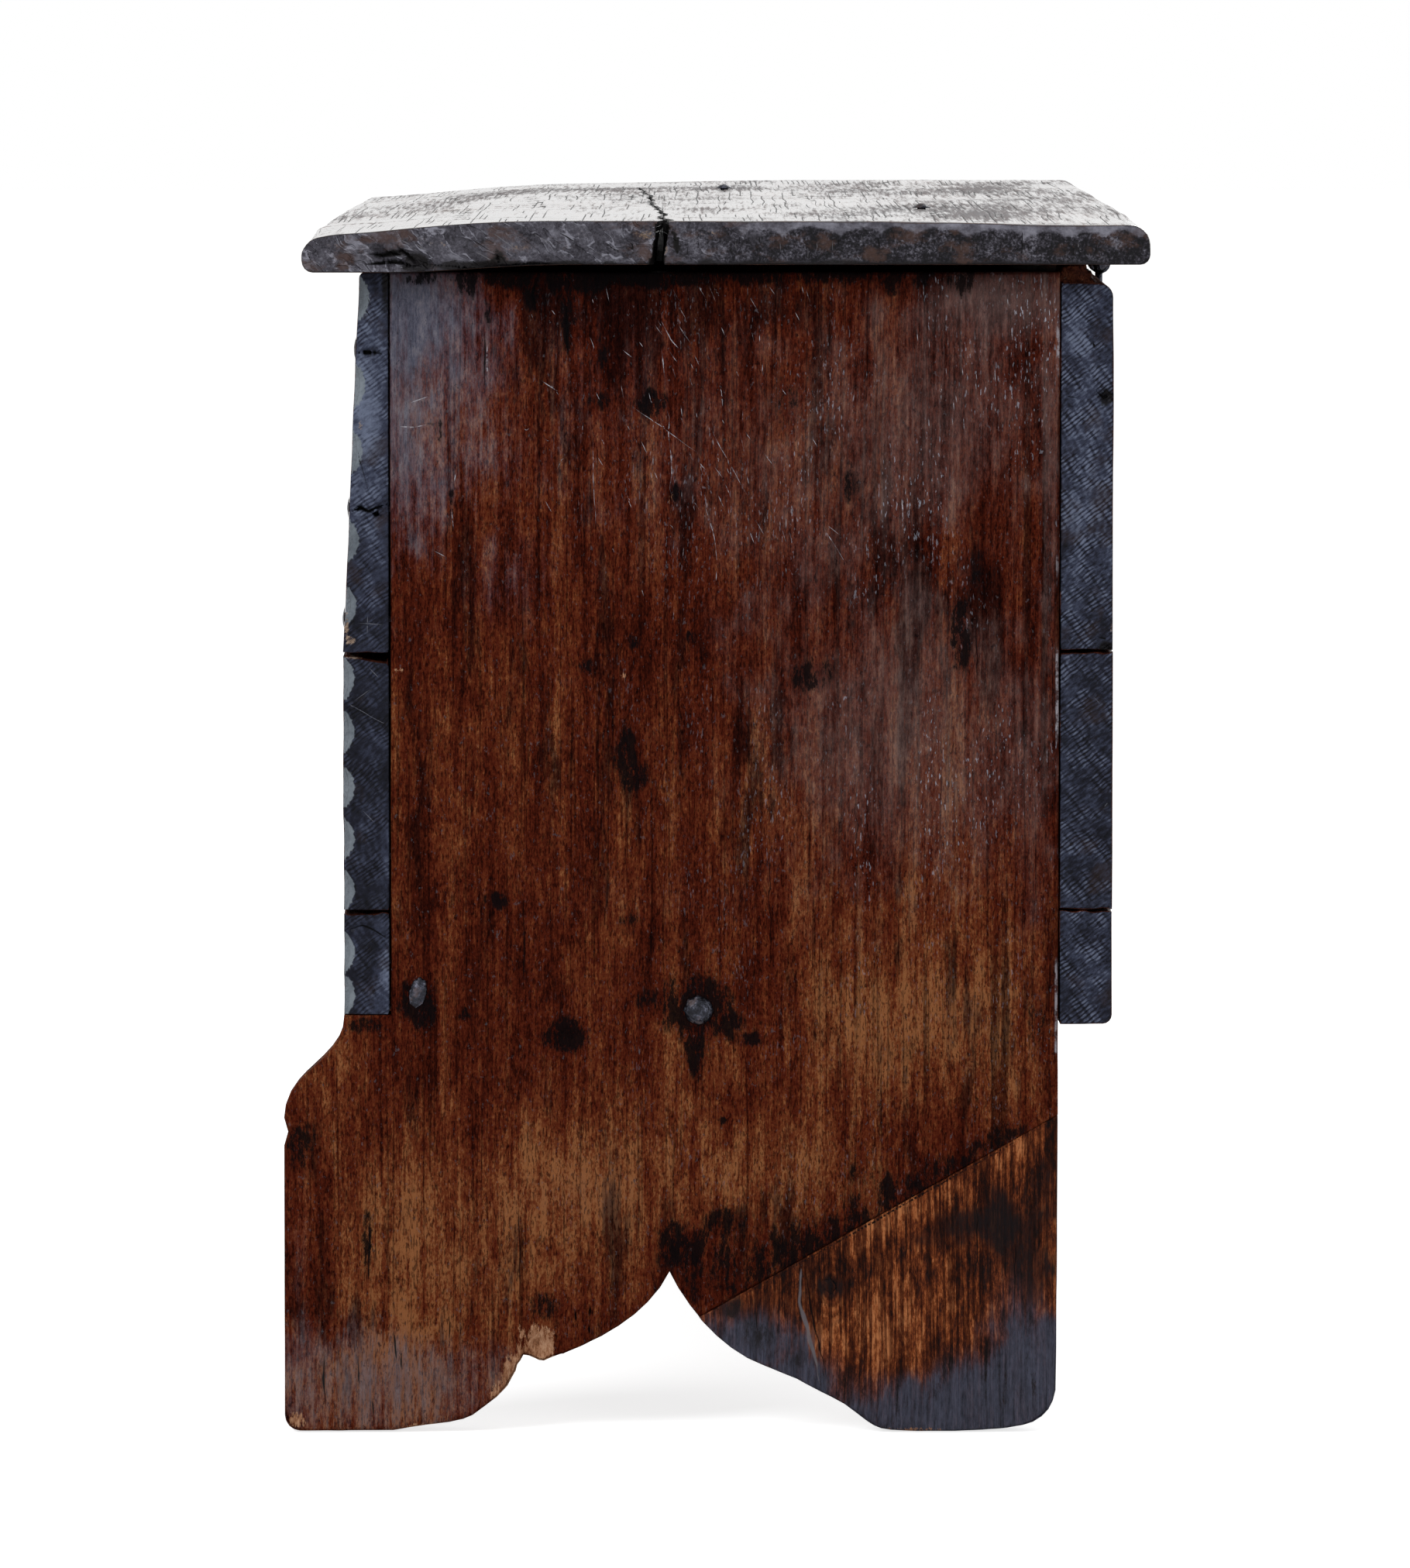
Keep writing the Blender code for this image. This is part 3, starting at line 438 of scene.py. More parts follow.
def axes(place):
    return [place.node("SeparateXYZ", {}, {0: place}, axis) for axis in range(3)]


def upright_wood():
    """Waxed red-brown wood, dark in its murk, blue-grey in its painted sheen, black in its stains.
    """
    material, ground = finish("end_wood")
    place = ground.warp((4.5, 4.5, 1.7), (0.012, 0.012, 0)).warp((26, 26, 10), (0.0016, 0.0016, 0))
    streak, fleck, pore, mottle, cloud = fibres(place, 2)
    _, y, z = axes(ground)
    growth = place.noise((235, 235, 1.9), 3, 0.6)
    patchy = place.noise((34, 34, 8), 2).rise(0.36, 0.6)
    late = growth.rise(0.505, 0.6) * patchy * (y + cloud.swing(0.3)).rise(-0.02, 0.09)
    murk = (place.noise((46, 46, 8), 5, 0.75) + place.look("murk") * 0.2).rise(0.55, 0.65)
    glow = place.noise((62, 62, 12), 5, 0.7).rise(0.54, 0.7)
    vein = place.noise((70, 70, 6), 5, 0.7)
    grit = place.noise((900, 900, 560), 2, 0.6)
    level = place.look("tone") + cloud.swing(0.8) + vein.swing(1.2) + streak.swing(0.75)
    level = level + mottle.swing(1.4) + fleck.swing(0.5) + grit.swing(0.7) + glow * 0.1
    wood = level.ramp(
        (0.0, (0.0085, 0.0015, 0.001)),
        (0.25, (0.028, 0.0038, 0.0016)),
        (0.5, (0.066, 0.0102, 0.004)),
        (0.75, (0.12, 0.029, 0.01)),
        (1.0, (0.225, 0.085, 0.032)),
    )
    wood = (murk * 0.85).shade(wood, (0.24, 0.28, 0.44))
    hair = place.noise((560, 560, 5), 2).rise(0.6, 0.66)
    wood = (hair * 0.7).shade(wood, (0.3, 0.28, 0.32))
    wood = (late * 0.8).shade(wood, (0.28, 0.3, 0.36))
    pores = pore.rise(0.55, 0.63)
    wood = (pores * 0.8).shade(wood, (0.28, 0.26, 0.3))
    # Painted sheen: this mask lays blue-grey over the left of the face, standing in for light off
    # the wax, and dusty brown over the right and, in part, the foot.
    bloom = place.look("bloom")
    streaky = vein.swing(1.2) + streak.swing(1.2) + mottle.swing(1.4)
    sheen_and_film_layer = bloom.rise(0.02, 0.3) * (bloom - 0.03 + streaky * (1 - y.rise(-0.1, 0.02) * 0.45))
    even = streak * 0.5 + fleck * 0.5 + mottle.swing(2.0)
    painted_sheen_colour = even.ramp(
        (0.25, (0.03, 0.032, 0.05)), (0.5, (0.066, 0.066, 0.094)), (0.78, (0.13, 0.12, 0.142))
    )
    dusty = even.ramp(
        (0.25, (0.046, 0.023, 0.021)), (0.5, (0.082, 0.046, 0.042)), (0.78, (0.135, 0.084, 0.076))
    )
    lower = 1 - z.rise(0.03, 0.09)
    wood = sheen_and_film_layer.over(wood, (y.rise(-0.1, 0.02) + lower * 0.5).over(painted_sheen_colour, dusty))
    pits = place.noise((310, 310, 190), 3, 0.75).rise(0.62, 0.7)
    wood = (pits * 0.75).shade(wood, (0.16, 0.17, 0.24))
    dust = place.noise((430, 430, 300), 3, 0.7).rise(0.62, 0.7)
    wood = (dust * 0.4).over(wood, (0.092, 0.088, 0.1))
    # Pale flecks, brightened where the sheen is painted, so that they are partly real flecks and
    # partly painted glints.
    flecks_and_glints = place.noise((900, 900, 260), 2).rise(0.63, 0.69)
    flecks_and_glints = flecks_and_glints * place.noise((30, 30, 14), 3).rise(0.45, 0.62)
    wood = (flecks_and_glints * (0.15 + bloom) * y.rise(-0.16, 0.1)).over(wood, (0.36, 0.38, 0.45))
    stain = place.look("stain") * (1.15 + mottle.swing(9) + streak.swing(2) + fleck.swing(1.5))
    black = stain.rise(0.22, 0.62) * 0.95
    wood = black.over(wood, (0.0026, 0.002, 0.0024))
    raw = (place.look("raw") * (1.0 + mottle.swing(6) + fleck.swing(2))).rise(0.34, 0.56)
    bare = even.ramp(
        (0.22, (0.052, 0.016, 0.007)), (0.5, (0.26, 0.115, 0.058)), (0.75, (0.44, 0.25, 0.15))
    )
    wood = raw.over(wood, bare)
    # Scratches, and on the right end also a painted highlight along its right-hand arris.
    broken = place.noise((190, 190, 190), 3, 0.7).rise(0.42, 0.6)
    scratch = place.look("scratch").rise(0.2, 0.7) * (0.1 + broken * 0.85)
    wood = scratch.over(wood, (0.4, 0.39, 0.43))
    wood = place.look("crack").rise(0.1, 0.7).over(wood, (0.0035, 0.003, 0.0034))
    rough = 0.62 - bloom * 0.16 + mottle.swing(0.8) + raw * 0.2
    height = streak * 0.7 + fleck * 0.6 - pores * 0.5 - late * 0.35 + mottle * 2.4
    coat = sheen_and_film_layer.rise(0.08, 0.6) * (1 - black) * 0.25
    surface(material, wood, rough, height, 0.00045, 0.012, coat)
    return material


END_RINGS = [0.6 * MM, 1.4 * MM, 2.6 * MM]
END_X = [x * MM for x in (476, 476.6, 477.5, 479.5, 485, 491, 496.5, 498.5, 499.4, 500)]
WORN_FOOT = np.array([
    (-161, 0.4), (-152, 2), (-144.3, 3.2), (-132.7, 4.6), (-126, 6), (-121.1, 8.1), (-115.3, 12.2),
    (-109, 17), (-106, 20.2), (-103.6, 22.9), (-101.5, 26.8), (-99.4, 30.4), (-98.6, 33.6),
    (-97, 35.6), (-95.6, 38.4), (-93, 38), (-90.2, 36.8), (-88, 35.7), (-85.5, 35.4), (-80.9, 37.5),
    (-77, 38.9),
]) * MM
SCARF_UP = np.array([-0.491, 0.871])


def reworn(outline, gone, points):
    """An outline with one stretch of it taken out and other points put there."""
    first = int(np.argmax(~gone & np.roll(gone, 1)))
    return np.vstack([np.roll(outline, -first, 0)[: (~gone).sum()], points])


outline = section("end_board_right", JUST_INSIDE)
y, z = outline.T / MM
outline = reworn(outline, (y > -162) & (y < -76) & (z < 60), WORN_FOOT)
right_cuts = [
    cut(path, width, 0.3, "scratch", 0.35, number + 1)
    for number, (width, path) in enumerate([
        (0.42, [(-26.9, 543.7), (-25.7, 533.7), (-24.8, 522.5)]),
        (0.5, [
            (-25.7, 515.9), (-22.6, 507.4), (-23.2, 499.8), (-21.8, 488.8), (-21.5, 478.7),
            (-22.6, 471.9), (-19.4, 460.9),
        ]),
        (0.4, [(-26.9, 555.5), (-21.8, 545.4), (-17.1, 540.3)]),
        (0.35, [(-18.4, 553), (-11.7, 542.8)]),
        (0.35, [(-87, 525.9), (-76.6, 519)]),
        (0.3, [(-42, 513.3), (-23.5, 499.8), (-8.3, 489.7)]),
        (0.32, [(-3.3, 504.9), (2.7, 491.4), (10.3, 478.7), (16.2, 467.7)]),
        (0.28, [(-60.6, 498.9), (-60.3, 473.7), (-58.9, 451.7)]),
        (0.35, [(-46.2, 541.1), (-40.4, 536.1)]),
        (0.35, [(-79.1, 480.4), (-75.8, 486.3), (-74, 487)]),
        (0.4, [(-94.8, 501.4), (-93.6, 500.4), (-92.4, 501.6)]),
        (0.4, [(-84.8, 496.8), (-83.4, 495.2), (-82, 496)]),
        (0.38, [(-20.9, 531.8), (-19.3, 525.9)]),
        (0.3, [(2.7, 525.9), (3.8, 512.4)]),
        (0.3, [(-5.8, 465.2), (-2.4, 455.9), (0.1, 443.3), (1, 433.2)]),
        (0.35, [(16.2, 452.6), (19.5, 444.2)]),
        (0.3, [(-7.5, 484.6), (-5.8, 478)]),
        (0.3, [(-11.7, 466.9), (-10, 460.1)]),
        (0.28, [(12, 500.6), (14.5, 488.8)]),
        (0.35, [(52.6, 454.7), (58.8, 444.3), (65.4, 433.4)]),
        (0.3, [(55.3, 453.6), (62.7, 448.1)]),
        (0.55, [(92.9, 467.5), (93.2, 454.7)]),
        (0.4, [(-130.8, 461.7), (-129.6, 450.9)]),
        (0.4, [(-113.2, 546), (-112.9, 527)]),
        (0.35, [(-140, 441), (-133, 437.5)]),
        (0.6, [(-157, 502.6), (-150, 502.4), (-143, 503.6)]),
        (0.45, [(-128.6, 480.6), (-129.6, 474)]),
        (0.4, [(-152, 514), (-142, 517.5)]),
    ])
]
right_cuts += cracks([
    ([(-114.6, 549.2), (-114.2, 524)], 0.7, 0.9, 0.5, 30),
    ([(-89.4, 575.5), (-90.2, 568.1), (-88.6, 559.6)], 1.5, 2, 0.6, 21),
    ([(-73.1, 562.7), (-73.5, 548.8), (-72.4, 535.2)], 0.7, 0.9, 0.5, 22),
    ([(-95.6, 270.1), (-94.8, 246.9), (-95.6, 219.8)], 0.5, 0.6, 0.5, 23),
    ([(-70, 61.1), (-69.3, 55)], 0.9, 2.5, 0.2, 24),
    ([(-62.3, 63.1), (-62.7, 57.7)], 0.9, 2.5, 0.2, 25),
    ([(-63.1, 53.4), (-62.7, 48.8)], 0.9, 2.5, 0.2, 26),
    ([(-156.7, 39.9), (-156.6, 31)], 0.6, 1.2, 0.3, 27),
    ([(-195, 38.1), (-196, 27), (-194.7, 16.6)], 1, 1.8, 0.4, 28),
    ([(-178.4, 36), (-178, 24)], 0.6, 1.2, 0.4, 35),
    ([(-160.4, 50), (-159.2, 36)], 0.8, 1.4, 0.4, 36),
    ([(-133, 60), (-132.4, 46)], 0.5, 0.8, 0.4, 37),
    ([(-171.1, 16.3), (-170.7, 7.7)], 0.6, 1.2, 0.3, 29),
    ([(-172.2, 110.3), (-173, 74.7)], 1.1, 0.7, 0.7, 30),
    ([(130, 413.3), (130.2, 371.9)], 0.4, 0.4, 0.4, 31),
    ([(-98, 116), (-97.2, 70)], 0.35, 0.4, 0.6, 32),
    ([(70, 330), (71, 262)], 0.35, 0.4, 0.8, 33),
    ([(26, 300), (28.5, 236)], 0.3, 0.4, 0.8, 34),
])
SLANT_TOP = 572
chance = np.random.default_rng(40)
for number in range(34):
    y, z = chance.uniform(96, 166), chance.uniform(500, 575)
    path = [(y, z), (y + 0.4, z - chance.uniform(3, 8))]
    right_cuts.append(cut(path, 0.3, 0.25, "scratch", 0.2, 60 + number))
for number in range(90):
    y, z = chance.normal(-8, 34), min(chance.normal(505, 40), SLANT_TOP)
    slant, drop = chance.uniform(-0.1, 0.8), chance.uniform(2, 8)
    path = [(y, z), (y + slant * drop, z - drop)]
    right_cuts.append(cut(path, 0.25, 0.2, "scratch", 0.3, 110 + number))
right_end = Board(finer(outline, 2.4 * MM), END_X, 3.0 * MM, END_RINGS, right_cuts)
place = right_end.points


def free_of_scarf(board):
    """0 on the glued faces of the scarf, so that wear doesn't open it, and 1 elsewhere."""
    across = np.abs(board.sideways @ SCARF_UP) > 0.97
    return 1.0 - across * (board.points[:, 1] > -15 * MM) * (board.points[:, 2] < 170 * MM)


def age(board, seed, edge, waves, ripple, scarfed=True):
    """Softens a board's edges, most at its foot, then waves and ripples its faces. Sizes in mm."""
    soft, uneven, run, worn, rise = edge
    foot = step_up(-board.points[:, 2], -rise * MM, 0)
    board.soften((soft + uneven * lumps(board.points, run, seed) + worn * foot) * MM)
    for number, (height, size) in enumerate((waves, ripple), 1):
        free = free_of_scarf(board) if scarfed else 1.0
        board.push(height * MM * lumps(board.points, size, seed + number) * free)


END_WEAR = (1.6, 0.9, 25, 1.6, 60), (0.35, (60, 45, 110)), (0.12, (6, 6, 26))
age(right_end, 3, *END_WEAR)


def dents(board, spots, face=1):
    """Hollows in an end face, each (y, z, half-width, half-height, depth), in mm."""
    for *spot, depth in spots:
        hollow = face * depth * MM * np.exp(-spread(board.points, *spot))
        board.points[:, 0] -= np.where(board.facing == face, hollow, 0)


dents(right_end, [
    (-32.1, 514.3, 6, 5, 1), (-20, 468.9, 3, 5, 1.8), (-130.8, 466, 3, 5, 1.2),
    (-74.3, 197.4, 6, 4, 2.8), (-108.7, 265.9, 4, 3, 1), (-125, 209, 3, 3, 0.8),
    (-148.2, 219, 7, 8, 1.6), (-88, 42, 9, 7, 3.5), (-103, 27, 6, 9, 2.6), (-209, 5, 8, 7, 2.4),
])
right_end.looks["tone"] = np.full(len(place), 0.5)
right_end.blots("tone", [
    (-50, 490, 70, 80, 0.04), (-60, 300, 70, 80, -0.02), (20, 555, 110, 22, -0.08),
    (-136, 500, 30, 70, 0.24), (90, 330, 70, 60, 0.14), (95, 208, 80, 50, 0.5),
    (20, 290, 60, 40, 0.08), (-90, 215, 55, 45, -0.02), (-160, 105, 55, 58, 0.32),
    (-60, 125, 60, 38, 0.28), (-165, 24, 55, 22, 0.52), (30, 130, 50, 30, 0.32),
    (110, 500, 50, 50, 0.05),
], 6, 0.4)
right_end.blots("murk", [
    (-60, 560, 70, 22, 0.5), (40, 565, 60, 18, 0.45), (-75, 520, 40, 40, 0.35),
    (-40, 470, 30, 50, 0.25), (60, 480, 60, 60, 0.15), (-75, 395, 40, 40, 0.25),
    (60, 400, 50, 50, 0.3), (120, 400, 40, 60, 0.35), (-45, 330, 30, 30, 0.3),
    (150, 230, 20, 60, 0.3), (-20, 105, 50, 20, 0.35), (-190, 150, 25, 20, 0.3),
    (-150, 380, 14, 120, 0.25), (-160, 55, 60, 12, 0.3),
], 7, 0.5)
# Painted sheen on the left half and along the arrises, standing in for light off the wax; on the
# right the same mask gives dusty brown.
right_end.blots("bloom", [
    (-150, 562, 24, 28, 0.8), (-156, 500, 14, 60, 0.6), (-132, 520, 26, 55, 0.42),
    (142, 566, 34, 14, 0.55), (110, 510, 60, 60, 0.36), (95, 345, 75, 70, 0.46),
    (-105, 425, 18, 20, 0.18), (-165, 24, 58, 24, 0.6), (-10, 500, 90, 80, 0.18),
    (-208, 80, 6, 70, 0.15), (-10, 268, 80, 16, 0.1), (158, 300, 10, 90, 0.15),
    (166, 480, 4, 90, 0.4), (50, 455, 40, 40, 0.14), (-60, 120, 50, 20, 0.1),
], 8, 0.4)
right_end.blots("stain", [
    (-32.1, 514.3, 9, 6, 0.95), (-57, 515, 8, 5, 0.5), (-56, 538, 3.5, 12, 0.55),
    (-77, 566, 10, 10, 0.4), (-89.5, 568, 4, 9, 0.8), (-73, 549, 2.6, 15, 0.6),
    (-19.5, 470, 3, 4, 0.8), (-64, 383, 4, 4, 0.8), (-40, 396, 3, 4, 0.7), (-12, 398, 3, 4, 0.7),
    (122, 398, 5, 14, 0.85), (131, 430, 14, 17, 0.3), (48, 378, 15, 9, 0.42), (67, 472, 6, 9, 0.42),
    (37, 516, 15, 20, 0.3), (-108.7, 266, 6, 4.5, 0.95), (-42, 256, 8, 9, 0.4),
    (-148, 217, 9, 9, 0.85), (-144, 209, 6, 9, 0.6), (-125, 209, 3.5, 3.5, 0.8),
    (-74.3, 197.4, 10, 6, 1.1), (-12, 214, 20, 15, 0.85), (-10, 190, 5, 11, 0.6),
    (8, 205, 9, 4, 0.6), (18, 197, 9, 3.5, 0.6), (-174, 204, 10, 4, 0.7), (-206, 142, 7, 13, 0.5),
    (-173, 92, 4, 20, 0.45), (-19, 96, 13, 12, 0.5), (5, 107, 9, 8, 0.45), (-85, 62, 7, 8, 0.55),
    (4, 156, 2.5, 2.5, 0.9), (15, 73, 16, 6, 0.3), (30, 82, 16, 6, 0.3), (45, 91, 16, 6, 0.32),
    (60, 99, 16, 6, 0.34), (75, 108, 16, 6, 0.38), (90, 117, 16, 6, 0.42), (105, 126, 16, 6, 0.46),
    (120, 135, 15, 6, 0.46), (135, 144, 13, 5, 0.42), (150, 152, 10, 4, 0.36),
    (48, 104, 24, 12, 0.29), (5, 92, 26, 16, 0.3), (-12, 78, 10, 12, 0.32), (70, 128, 22, 9, 0.26),
    (-45, 345, 5, 16, 0.55), (-40, 327, 8, 6, 0.5), (160, 203, 6, 20, 0.4), (96, 190, 24, 16, 0.22),
    # The spots along the top edge, from z 571 to 585, are a painted shadow under the lid, not
    # stains.
    (-45, 338, 9, 11, 0.4), (-150, 585, 200, 8, 0.35), (20, 578, 120, 5, 0.6),
    (113, 571, 34, 6, 0.2), (-122, 573, 5, 7, 0.8), (-104, 575, 8, 4, 0.9), (-112, 561, 2, 9, 0.5),
    (-64, 575, 12, 4, 0.8), (-36, 576, 16, 4, 0.8), (-146, 575, 9, 3, 0.6),
    (-137, 500, 2, 12, 0.35), (-131.5, 468, 1.8, 4.5, 0.8), (-150, 504.4, 9, 1.2, 0.6),
], 10, 0.6)
right_end.blots("raw", [
    (-88, 43, 8.5, 8, 1), (-101, 28, 5, 9, 0.85), (-108, 18, 7, 7, 0.7), (-22, 467, 1.6, 4.5, 0.6),
    (-94, 33, 8, 6, 0.7), (-157, 381, 3, 2, 0.62), (-46, 379, 2.2, 2.6, 0.55), (-210, 6, 5, 4, 0.9),
    (-142, 2, 17, 2.2, 0.8),
], 12, 0.5)
y, z = place[:, 1] / MM, place[:, 2] / MM
bitten = (y > -112) & (y < -80) & (z < 42) & (right_end.facing == 0)
right_end.looks["raw"][bitten] = 0.75
# A painted highlight along the right-hand arris of the outer face, laid into the scratch look.
arris_band = (y > 168.5) & (z > 190) & (right_end.facing == 1) & (right_end.depth < 1.5 * MM)
painted_arris_highlight = 0.5 * step_up(lumps(place, (1000, 9, 26), 14), -0.3, 0.4) * arris_band
right_end.looks["scratch"] = np.maximum(right_end.looks["scratch"], painted_arris_highlight)
end_wood = upright_wood()
right_end.build("end_board_right", end_wood, "end_wood")


# Spliced rear foot of the right end: a repair in streakier, more orange wood, scarfed on along a
# slanting joint and sawn to the arch and toe. Its lower part is blue-black.

KNOT = (57.5 * MM, 73 * MM)


def splice_finish():
    """Streaky orange-brown wood, blue-black low down and black in its stains."""
    material, ground = finish("splice_wood")
    place = ground.warp((9, 9, 4), (0.009, 0.009, 0)).warp((40, 40, 16), (0.0018, 0.0018, 0))
    streak, fleck, pore, mottle, _ = fibres(place, 2)
    bands = place.noise((52, 52, 16), 5, 0.7)
    late = place.noise((560, 560, 17), 3, 0.6).rise(0.46, 0.54)
    level = place.look("tone") + bands.swing(1.5) + streak.swing(0.9) + mottle.swing(2.8)
    level = level + fleck.swing(0.9)
    wood = level.ramp(
        (0.0, (0.008, 0.004, 0.0038)),
        (0.28, (0.03, 0.008, 0.0042)),
        (0.52, (0.095, 0.0215, 0.007)),
        (0.75, (0.205, 0.054, 0.016)),
        (1.0, (0.37, 0.135, 0.05)),
    )
    wood = (late * 0.82).shade(wood, (0.2, 0.15, 0.16))
    _, y, z = axes(ground)
    across, up = y - KNOT[0], (z - KNOT[1]) * 0.6
    away = (across * across + up * up) ** 0.5 + mottle.swing(0.008)
    wood = (away.wave(0.0027) * (1 - away.rise(0.005, 0.02)) * 0.75).shade(wood, (0.22, 0.17, 0.17))
    wood = (pore.rise(0.54, 0.64) * 0.6).shade(wood, (0.35, 0.3, 0.3))
    # The same mask as the painted sheen on the end boards; here it lays blue-black over the lower
    # part.
    bloom = place.look("bloom")
    sheen_and_film_layer = bloom * (1.05 + streak.swing(1.6) + bands.swing(2.4) + mottle.swing(4))
    sheen_and_film_layer = sheen_and_film_layer.rise(0.05, 0.8) * 0.95
    blue_black = streak * 0.7 + fleck * 0.5 - 0.1
    blue_black = blue_black.ramp((0.32, (0.009, 0.01, 0.016)), (0.66, (0.058, 0.062, 0.092)))
    wood = sheen_and_film_layer.over(wood, blue_black)
    stain = place.look("stain") * (1.15 + mottle.swing(7) + bands.swing(3) + streak.swing(1.5))
    wood = (stain.rise(0.22, 1.05) * 0.94).over(wood, (0.006, 0.0048, 0.0056))
    raw = (place.look("raw") * (1 + mottle.swing(6) + fleck.swing(2))).rise(0.36, 0.62)
    wood = raw.over(wood, (0.26, 0.125, 0.066))
    # The scratch look on the splice is a painted highlight on the ridge beside its long crack.
    wood = (place.look("scratch").rise(0.15, 0.6) * 0.9).over(wood, (0.12, 0.108, 0.118))
    wood = place.look("crack").rise(0.1, 0.7).over(wood, (0.0035, 0.003, 0.0034))
    height = streak * 0.8 + fleck * 0.6 - late * 0.6 + mottle * 2.2 + bands * 0.5
    rough = 0.6 - bloom * 0.1 + mottle.swing(0.4)
    surface(material, wood, rough, height, 0.00045, 0.04, bloom * 0.12)
    return material


# Beside the long crack at the left of the splice, a pale band and a black line: a painted highlight
# and a painted shadow of a ridge.
splice_cuts = [
    cut([(43, 85.5), (42.4, 65.8), (48.7, 41), (53.3, 23.2)], 1.5, 0.5, "scratch", 0.8, 201),
]
splice_cuts += cracks([
    ([(45.2, 84), (46.6, 65), (52.8, 40.5), (57, 24)], 0.6, 1, 0.8, 202),
    ([(54, 76), (58, 77), (61, 73), (58, 69.5), (54.5, 71.5)], 0.5, 0.8, 0.3, 203),
    ([(96, 118), (95, 76)], 0.4, 0.4, 0.7, 204),
    ([(131, 128), (130, 70)], 0.5, 0.5, 0.9, 205),
    ([(118, 60), (118.6, 22)], 0.35, 0.3, 0.7, 206),
    ([(150, 100), (149, 52)], 0.35, 0.4, 0.7, 207),
    ([(78, 92), (77, 66)], 0.3, 0.3, 0.6, 208),
    ([(20, 62), (21, 50)], 0.4, 0.4, 0.4, 209),
    ([(14, 68.5), (60, 94.5), (110, 122.9), (166, 154.8)], 0.9, 0.8, 0.2, 220),
])
SAWN_TOE = np.array([
    (48, 22.4), (53, 19.6), (58.8, 16.6), (64.6, 13.4), (70.4, 9.2), (76.2, 4.8), (79.6, 2.6),
    (83, 1.2), (88, 0.4), (104, 0), (120, 0), (134, 0.6), (146, 1.6), (153.6, 2.9), (159, 4.6),
    (163.4, 7.4), (166.6, 11), (168.8, 15.2), (170.2, 20.5),
]) * MM
outline = section("foot_splice_right", JUST_INSIDE)
y, z = outline.T / MM
outline = reworn(outline, (y > 46) & (z < 24), SAWN_TOE)
splice = Board(finer(outline, 2.2 * MM), END_X, 2.8 * MM, END_RINGS, splice_cuts)
place = splice.points
age(splice, 210, (1.2, 0.7, 22, 1.8, 50), (0.3, (60, 40, 90)), (0.14, (6, 6, 24)))
GLUE_LINE = 0.22 * MM
glued = splice.sideways @ SCARF_UP > 0.4
splice.points[glued, 1:] += GLUE_LINE * SCARF_UP
dents(splice, [(57.5, 73, 4, 4, 0.8), (165, 3, 7, 6, 2)])
splice.looks["tone"] = np.full(len(place), 0.5)
splice.blots("tone", [
    (70, 96, 11, 8, 0.3), (86, 105, 12, 8, 0.32), (102, 114, 12, 8, 0.3), (118, 123, 11, 7, 0.28),
    (136, 134, 9, 5, 0.26), (152, 144, 8, 4, 0.24), (92, 58, 45, 24, 0.22), (60, 50, 22, 14, 0.16),
    (150, 80, 18, 45, -0.12), (84, 80, 14, 10, 0.1),
], 213, 0.4)
splice.blots("bloom", [
    (18, 46, 24, 12, 0.95), (42, 26, 20, 11, 0.85), (162, 28, 15, 27, 0.95), (118, 6, 64, 17, 0.98),
    (138, 26, 26, 15, 0.6), (150, 60, 16, 22, 0.25),
], 214, 0.4)
splice.blots("stain", [
    (138, 106, 15, 12, 0.75), (120, 105, 14, 8, 0.6), (152, 96, 12, 16, 0.55),
    (57.5, 73, 8, 7, 0.95), (103, 97, 13, 5, 0.45), (40, 84, 14, 4, 0.4), (30, 66, 12, 12, 0.35),
    (8, 62, 10, 8, 0.65), (24, 48, 12, 8, 0.6), (40, 36, 12, 7, 0.45), (158, 74, 12, 18, 0.5),
    (44, 66, 5, 10, 0.35), (156, 20, 8, 16, 0.3), (165, 128, 5, 12, 0.5),
], 215, 0.6)
splice.blots("raw", [(168, 2, 5, 3, 0.9), (100, 1, 20, 1.6, 0.5)], 216, 0.5)
splice.build("foot_splice_right", splice_finish(), "splice_wood")


# Left end board: a plank of the same wood sawn to the same outline, but whole, with both feet in
# one piece. It is nailed and waxed as the other is, and has its own scratches and stains.

left_cuts = []
chance = np.random.default_rng(300)
for number in range(46):
    y, z = chance.uniform(-150, 160), chance.uniform(150, 565)
    slant = chance.uniform(-3.0, 3.0)
    kind = "crack" if number % 4 == 0 else "scratch"
    path = [(y, z), (y + slant, z - chance.uniform(5, 24))]
    left_cuts.append(cut(path, 0.32, 0.3, kind, 0.3, 310 + number))
outline = finer(section("end_board_left", -JUST_INSIDE), 2.6 * MM)
left_end = Board(outline, [-x for x in reversed(END_X)], 4 * MM, END_RINGS, left_cuts, -1)
place = left_end.points
age(left_end, 301, *END_WEAR, scarfed=False)
dents(left_end, [
    (-148.2, 219, 7, 8, 1.4), (60, 330, 5, 7, 1), (-90, 420, 6, 5, 1), (165, 4, 7, 6, 2),
], -1)
left_end.looks["tone"] = np.full(len(place), 0.4)
left_end.blots("tone", [
    (60, 500, 80, 60, -0.1), (-60, 260, 90, 60, 0.07), (100, 200, 60, 60, 0.06),
    (-170, 80, 40, 60, 0.08), (120, 60, 40, 40, 0.08),
], 304, 0.4)
left_end.blots("murk", [
    (20, 550, 120, 30, 0.4), (90, 420, 60, 60, 0.3), (-90, 330, 40, 60, 0.3),
    (20, 110, 60, 25, 0.3),
], 308, 0.5)
